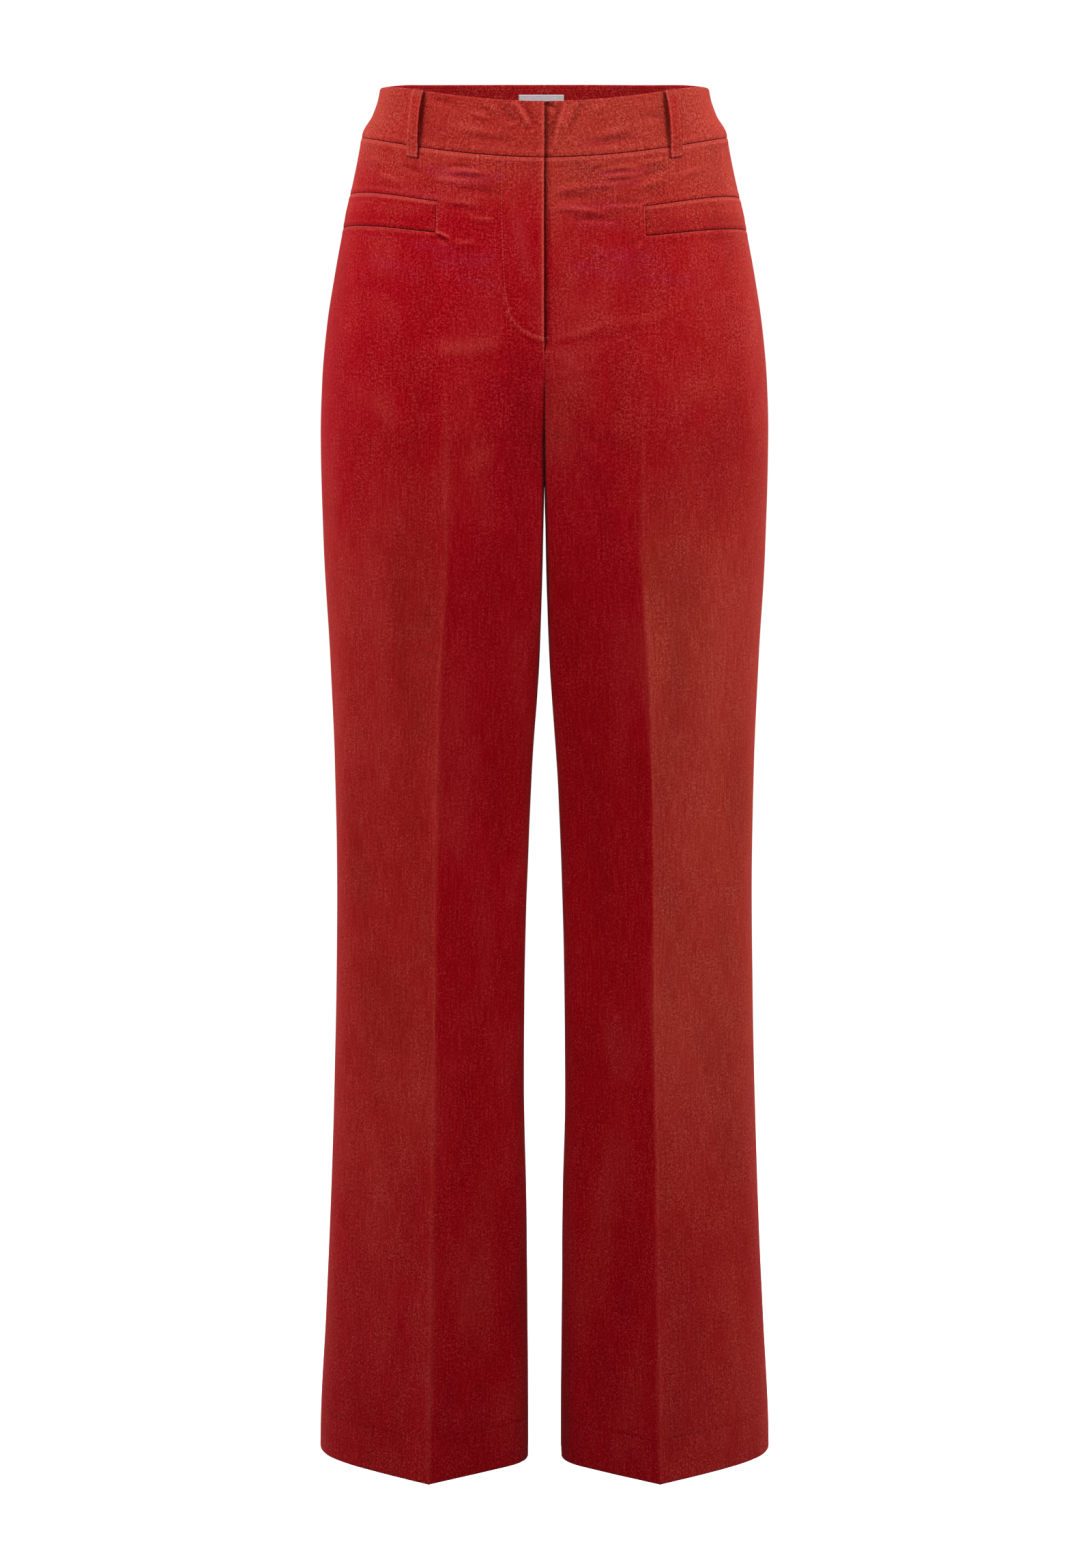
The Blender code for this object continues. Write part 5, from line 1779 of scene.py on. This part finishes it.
def belt_loop(side, half):
    """A strap that stands off the band between its two sewn ends."""
    top_x, bottom_x = LOOP_PLACES[half]
    rise = LOOP_RISE[half]
    down = np.linspace(0, 1, LOOP_ROWS)
    over = loop_columns()
    outer, inner, ups, shades = [], [], [], []
    for t in down:
        drop = (LOOP_LENGTH + rise) * t - rise
        held_drop = max(drop, 0.0)
        x = top_x + (bottom_x - top_x) * t
        shares = np.array([share_at(half, held_drop, x, reach) for reach in over])
        points, normals = face(side, half, np.full(len(over), held_drop), shares)
        points[:, 2] += held_drop - drop
        out, into = loop_heights(side, over, t)
        outer.append(points + normals * out[:, None])
        inner.append(points + normals * into[:, None])
        ups.append(normals)
        shades.append(loop_shade(side, over, t))
    name = f"belt_loop_{half}_{side}"
    cloth_uv = np.stack(np.meshgrid(over, down * LOOP_LENGTH), axis=-1)
    pile = np.tile(np.array([LOOP_BRUSHED, 0.0, 0.5, 1.0]), (len(down), len(over), 1))
    pile[..., 2] = shades
    grids = np.array(outer), np.array(inner), cloth_uv, np.array(ups)
    piece = shell(f"{name}_cloth", *grids, velvet_of["trims"], pile=pile)
    flat = (LOOP_WIDTH, LOOP_LENGTH + rise)
    settle(piece, name, flat)
    return piece


belt_loops = {(side, half): belt_loop(side, half) for side in SIDES for half in HALF_SIGN}

# %% [markdown]
# ## The label
#
# Inside the back of the band sits a small blank tape of pale grey satin. Only its top edge
# shows over the front of the waist. Satin has a fine crosswise rib and a soft gloss.

# %% Label
LABEL_WIDTH = 0.036
LABEL_X = -0.0025
LABEL_HEIGHT = 0.026
LABEL_DROP = 0.0072
LABEL_WALL = 0.0006
LABEL_GAP = 0.0005
LABEL_COLUMNS = 41
LABEL_ROWS = 31
RIPPLE = 0.00025
RIPPLE_WAVES = 2
RIPPLE_LEAN = 60
NEAREST_MIDDLE = 0.0003
RIBS = Pattern(1400.0 / 6, 0.12, 1.0, 3.0)
RIB_STOPS = ((0.3, (0.55, 0.56, 0.60)), (0.7, (0.69, 0.70, 0.76)))
RIB_RELIEF = {"Strength": 0.3, "Distance": 0.0001}
SATIN_FINISH = {"Roughness": 0.42, "Sheen Weight": 0.2}

satin, satin_tree, satin_shader = new_material("label_satin")
ribs = noise_on_cloth(satin_tree, flat_cloth(satin_tree), RIBS, 0.0)
satin_tree.links.new(ramp(satin_tree, ribs, RIB_STOPS), satin_shader.inputs["Base Color"])
raise_relief(satin_tree, satin_shader, ribs, RIB_RELIEF)
set_inputs(satin_shader, SATIN_FINISH)


def label():
    """A blank label sewn inside the back of the band."""
    over = np.linspace(-LABEL_WIDTH / 2, LABEL_WIDTH / 2, LABEL_COLUMNS)
    down = np.linspace(0, LABEL_HEIGHT, LABEL_ROWS)
    near, far, ups = [], [], []
    for d in down:
        drop = LABEL_DROP + d
        points, normals = [], []
        for x in over + LABEL_X:
            side = "right" if x < 0 else "left"
            share = share_at("back", drop, max(abs(x), NEAREST_MIDDLE))
            point, normal = face(side, "back", np.array(drop), np.array(share))
            points.append(point)
            normals.append(normal)
        points, normals = np.array(points), np.array(normals)
        waves = 1 - np.cos(over / LABEL_WIDTH * 2 * RIPPLE_WAVES * math.pi + d * RIPPLE_LEAN)
        sink = BAND_WALL + LABEL_GAP + RIPPLE * waves * math.sin(math.pi * d / LABEL_HEIGHT)
        near.append(points - normals * sink[:, None])
        far.append(points - normals * (sink + LABEL_WALL)[:, None])
        ups.append(normals)
    cloth_uv = np.stack(np.meshgrid(over, down), axis=-1)
    piece = shell("label_satin", np.array(near), np.array(far), cloth_uv, np.array(ups), satin)
    flat = (LABEL_WIDTH, LABEL_HEIGHT)
    settle(piece, "label", flat)
    return piece


label_piece = label()

# %% [markdown]
# ## Sewing
#
# Thread shows along the fly, where its curve ends in a bar tack, at the ends of the belt
# loops and welts, inside the band and, as pricks, at the hem. Each row of stitches is a
# line here, given by its distance from the middle, negative on the wearer's right, and its
# drop. A line is dropped onto the finished piece, so it follows every crease.

# %% Rows of stitches
StitchRow = namedtuple("StitchRow", "piece half inside line")
LevelRow = namedtuple("LevelRow", "piece half inside drop")
LEVEL_SHARES = np.linspace(0.05, 1.95, 39)
INSIDE_DROP = 0.0034
TACK_HALF = 0.0034
TACK_TOP = 0.0030
TACK_BOTTOM = 0.0034
LABEL_SEWN_HALF = 0.0172
LABEL_SEWN_DROP = 0.0009

RUNNING_ROWS = [
    StitchRow("front_right", "front", False, [(-x, d) for x, d in FLY_STITCHES]),
    StitchRow("front_right", "front", False, [(-0.0803, 0.0800), (-0.0801, 0.1040)]),
    StitchRow("front_left", "front", False, [(0.0746, 0.0832), (0.0748, 0.1062)]),
    StitchRow("front_left", "front", False, [(0.0744, 0.0803), (0.0585, 0.0803)]),
]
TACK_ROWS = [
    StitchRow("front_right", "front", False, [(-0.0034, 0.1862), (-0.0006, 0.1868)]),
    StitchRow("front_left", "front", False, [(0.0008, 0.1868), (0.0030, 0.1866)]),
]
MARK_ROWS = [StitchRow(f"waistband_{side}", "back", True, line) for side, line in (
    ("right", [(-0.0390, 0.0092), (-0.0345, 0.0084)]),
    ("right", [(-0.0345, 0.0086), (-0.0332, 0.0126)]),
    ("left", [(0.0290, 0.0104), (0.0312, 0.0088)]),
    ("left", [(0.0318, 0.0090), (0.0350, 0.0106)]),
    ("right", [(-0.0056, 0.0052), (-0.0008, 0.0044)]),
    ("left", [(0.0008, 0.0046), (0.0060, 0.0050)]),
)]
PRICK_ROWS, INSIDE_ROWS = [], []
for side in SIDES:
    for half in HALF_SIGN:
        PRICK_ROWS.append(LevelRow(f"{half}_{side}", half, False, LENGTH - HEM_DEPTH))
        INSIDE_ROWS.append(LevelRow(f"waistband_{side}", half, True, INSIDE_DROP))
        top_x, bottom_x = LOOP_PLACES[half]
        for end, x in ((TACK_TOP, top_x), (LOOP_LENGTH - TACK_BOTTOM, bottom_x)):
            edges = [(SIDE_SIGN[side] * (x + reach), end) for reach in (-TACK_HALF, TACK_HALF)]
            TACK_ROWS.append(StitchRow(f"belt_loop_{half}_{side}", half, False, edges))
LABEL_STITCHES = [StitchRow("label", "back", True, [
    (LABEL_X + reach, LABEL_DROP + LABEL_SEWN_DROP)
    for reach in (-LABEL_SEWN_HALF, LABEL_SEWN_HALF)])]
print("rows of stitches:", sum(len(rows) for rows in (
    RUNNING_ROWS, TACK_ROWS, MARK_ROWS, PRICK_ROWS, INSIDE_ROWS, LABEL_STITCHES)))

# %% [markdown]
# To drop a line onto a piece, a search tree over the piece's faces is asked where a short
# ray from just outside the cloth meets it. The thread then lies a hair above that spot.

# %% Thread on the cloth
THREAD_LIFT = 0.00012
RAY_START = 0.012
RAY_LENGTH = 0.03
LINE_SPOTS = 12

finished = {"label": label_piece}
finished.update({f"{half}_{side}": piece for (side, half), piece in panels.items()})
finished.update({f"waistband_{side}": piece for side, piece in waistbands.items()})
finished.update({f"belt_loop_{half}_{side}": piece for (side, half), piece in belt_loops.items()})
nets = {}


def net_of(name):
    """Search tree over the faces of a finished piece."""
    if name not in nets:
        mesh = finished[name].data
        corners = [v.co for v in mesh.vertices]
        nets[name] = BVHTree.FromPolygons(corners, [f.vertices for f in mesh.polygons])
    return nets[name]


def drop_onto(row, side, share, drop):
    """The spot on the finished piece over a place, and the way out of the cloth there."""
    point, normal = face(side, row.half, np.array(drop), np.array(share))
    out = Vector(normal) * (-1 if row.inside else 1)
    hit = net_of(row.piece).ray_cast(Vector(point) + out * RAY_START, -out, RAY_LENGTH)[0]
    return None if hit is None else (hit + out * THREAD_LIFT, out)


def spots_of(row):
    """Spots along a row of stitches."""
    if isinstance(row, LevelRow):
        side = "right" if row.piece.endswith("right") else "left"
        found = [drop_onto(row, side, share, row.drop) for share in LEVEL_SHARES]
    else:
        line = eased_line(row.line, CURVE_SPOTS if len(row.line) > 3 else LINE_SPOTS)
        found = []
        for x, drop in line:
            side = "right" if x < 0 else "left"
            found.append(drop_onto(row, side, share_at(row.half, drop, abs(x)), drop))
    return [spot for spot in found if spot is not None]


print("spots along the fly:", len(spots_of(RUNNING_ROWS[0])))

# %% [markdown]
# ### Stitches along the rows
#
# A stitch is a tiny swollen bead of thread. One node tree walks along the rows, sets a bead
# at each pitch, lays it flat on the cloth and turns it with the row, or across it for a bar
# tack. Small random turns keep it from looking printed.

# %% Stitch tree
BEAD_SEGMENTS = 8
BEAD_RINGS = 5
BEAD_WOBBLE = 0.16


def open_socket(node, name):
    """The socket of that name which the node's present type uses."""
    return next(socket for socket in node.inputs if socket.enabled and socket.name == name)


def stitch_tree():
    """Node tree that lays beads of thread along lines."""
    tree = bpy.data.node_groups.new("stitches", "GeometryNodeTree")
    tree.interface.new_socket("Lines", in_out="INPUT", socket_type="NodeSocketGeometry")
    for name in ("Pitch", "Bead Length", "Bead Width", "Turn"):
        tree.interface.new_socket(name, in_out="INPUT", socket_type="NodeSocketFloat")
    tree.interface.new_socket("Seed", in_out="INPUT", socket_type="NodeSocketInt")
    tree.interface.new_socket("Thread", in_out="INPUT", socket_type="NodeSocketMaterial")
    tree.interface.new_socket("Stitches", in_out="OUTPUT", socket_type="NodeSocketGeometry")
    given = tree.nodes.new("NodeGroupInput")
    done = tree.nodes.new("NodeGroupOutput")
    curve = tree.nodes.new("GeometryNodeMeshToCurve")
    walk = tree.nodes.new("GeometryNodeResampleCurve")
    walk.mode = "LENGTH"
    bead = tree.nodes.new("GeometryNodeMeshUVSphere")
    set_inputs(bead, {"Segments": BEAD_SEGMENTS, "Rings": BEAD_RINGS, "Radius": 0.5})
    size = tree.nodes.new("ShaderNodeCombineXYZ")
    form = tree.nodes.new("GeometryNodeTransform")
    up = tree.nodes.new("GeometryNodeInputNamedAttribute")
    up.data_type = "FLOAT_VECTOR"
    up.inputs["Name"].default_value = "up"
    lie_flat = tree.nodes.new("FunctionNodeAlignRotationToVector")
    lie_flat.axis = "Z"
    along = tree.nodes.new("GeometryNodeInputTangent")
    follow = tree.nodes.new("FunctionNodeAlignRotationToVector")
    follow.axis = "X"
    follow.pivot_axis = "Z"
    chance = tree.nodes.new("FunctionNodeRandomValue")
    open_socket(chance, "Min").default_value = -BEAD_WOBBLE
    open_socket(chance, "Max").default_value = BEAD_WOBBLE
    total_turn = tree.nodes.new("ShaderNodeMath")
    angles = tree.nodes.new("ShaderNodeCombineXYZ")
    turn = tree.nodes.new("FunctionNodeEulerToRotation")
    turned = tree.nodes.new("FunctionNodeRotateRotation")
    turned.rotation_space = "LOCAL"
    place = tree.nodes.new("GeometryNodeInstanceOnPoints")
    real = tree.nodes.new("GeometryNodeRealizeInstances")
    finish = tree.nodes.new("GeometryNodeSetMaterial")
    for start, end in (
        (given.outputs["Lines"], curve.inputs["Mesh"]),
        (curve.outputs["Curve"], walk.inputs["Curve"]),
        (given.outputs["Pitch"], walk.inputs["Length"]),
        (given.outputs["Bead Length"], size.inputs["X"]),
        (given.outputs["Bead Width"], size.inputs["Y"]),
        (given.outputs["Bead Width"], size.inputs["Z"]),
        (bead.outputs["Mesh"], form.inputs["Geometry"]),
        (size.outputs["Vector"], form.inputs["Scale"]),
        (next(s for s in up.outputs if s.enabled), lie_flat.inputs["Vector"]),
        (lie_flat.outputs["Rotation"], follow.inputs["Rotation"]),
        (along.outputs["Tangent"], follow.inputs["Vector"]),
        (given.outputs["Seed"], chance.inputs["Seed"]),
        (next(s for s in chance.outputs if s.enabled), total_turn.inputs[0]),
        (given.outputs["Turn"], total_turn.inputs[1]),
        (total_turn.outputs["Value"], angles.inputs["Z"]),
        (angles.outputs["Vector"], turn.inputs["Euler"]),
        (follow.outputs["Rotation"], turned.inputs["Rotation"]),
        (turn.outputs["Rotation"], turned.inputs["Rotate By"]),
        (walk.outputs["Curve"], place.inputs["Points"]),
        (form.outputs["Geometry"], place.inputs["Instance"]),
        (turned.outputs["Rotation"], place.inputs["Rotation"]),
        (place.outputs["Instances"], real.inputs["Geometry"]),
        (real.outputs["Geometry"], finish.inputs["Geometry"]),
        (given.outputs["Thread"], finish.inputs["Material"]),
        (finish.outputs["Geometry"], done.inputs["Stitches"]),
    ):
        tree.links.new(start, end)
    return tree


sewing = stitch_tree()
print("nodes in the stitch tree:", len(sewing.nodes))

# %% [markdown]
# The thread is twisted, so its colour changes quickly along it, and it is a little glossier
# than the velvet. Each call below hands one kind of stitch to the tree, keeps the mesh that
# comes out and takes the modifier off again, so that the piece is a plain mesh.

# %% Sewing
TWISTS_PER_METRE = 1400.0
TWIST_STOPS = (0.35, 0.65)
THREAD_FINISH = {"Roughness": 0.55, "Specular IOR Level": 0.3}


def thread(name, dark, light):
    """Twisted thread with a soft gloss."""
    material, tree, shader = new_material(name)
    place = tree.nodes.new("ShaderNodeTexCoord")
    twist = tree.nodes.new("ShaderNodeTexNoise")
    set_inputs(twist, {"Scale": TWISTS_PER_METRE})
    tree.links.new(place.outputs["Object"], twist.inputs["Vector"])
    colour = ramp(tree, twist.outputs["Fac"], tuple(zip(TWIST_STOPS, (dark, light))))
    tree.links.new(colour, shader.inputs["Base Color"])
    set_inputs(shader, THREAD_FINISH)
    return material


THREADS = {
    "velvet": thread("thread_crimson", (0.42, 0.030, 0.024), (0.74, 0.150, 0.110)),
    "label_tape": thread("thread_pale", (0.50, 0.50, 0.53), (0.78, 0.78, 0.82)),
}


Stitch = namedtuple("Stitch", "pitch length width turn seed")


def sew(name, rows, slot, stitch):
    """One piece with all the stitches of its rows."""
    points, ups, edges = [], [], []
    for row in rows:
        spots = spots_of(row)
        edges.extend((len(points) + i, len(points) + i + 1) for i in range(len(spots) - 1))
        points.extend(spot for spot, _ in spots)
        ups.extend(out for _, out in spots)
    lines = bpy.data.meshes.new(name)
    lines.from_pydata(points, edges, [])
    way_up = lines.attributes.new("up", "FLOAT_VECTOR", "POINT")
    way_up.data.foreach_set("vector", np.array(ups, dtype=np.float32).ravel())
    piece = bpy.data.objects.new(name, lines)
    bpy.context.scene.collection.objects.link(piece)
    modifier = piece.modifiers.new("sewing", "NODES")
    modifier.node_group = sewing
    values = {"Pitch": stitch.pitch, "Bead Length": stitch.length, "Bead Width": stitch.width,
              "Turn": stitch.turn, "Seed": stitch.seed, "Thread": THREADS[slot]}
    for socket in sewing.interface.items_tree:
        if socket.item_type == "SOCKET" and socket.in_out == "INPUT" and socket.name in values:
            modifier[socket.identifier] = values[socket.name]
    bpy.context.view_layer.update()
    evaluated = piece.evaluated_get(bpy.context.evaluated_depsgraph_get())
    plain = bpy.data.meshes.new_from_object(evaluated)
    piece.modifiers.clear()
    piece.data = plain
    bpy.data.meshes.remove(lines)
    plain.name = name
    plain.shade_smooth()
    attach(piece, "root")
    print(name, "faces:", len(plain.polygons))
    return piece


sew("stitches_running", RUNNING_ROWS, "velvet", Stitch(0.0026, 0.0019, 0.00042, 0.0, 3))
sew("stitches_tacks", TACK_ROWS, "velvet", Stitch(0.0006, 0.0016, 0.00040, math.pi / 2, 5))
sew("stitches_inside_marks", MARK_ROWS, "velvet", Stitch(0.0012, 0.0015, 0.00036, 0.6, 7))
sew("stitches_inside_band", INSIDE_ROWS, "velvet", Stitch(0.0026, 0.0013, 0.00034, 0.0, 9))
sew("stitches_hem_pricks", PRICK_ROWS, "velvet", Stitch(0.0070, 0.0007, 0.00028, 0.4, 11))
sew("stitches_label", LABEL_STITCHES, "label_tape", Stitch(0.0020, 0.0013, 0.00030, 0.0, 13))
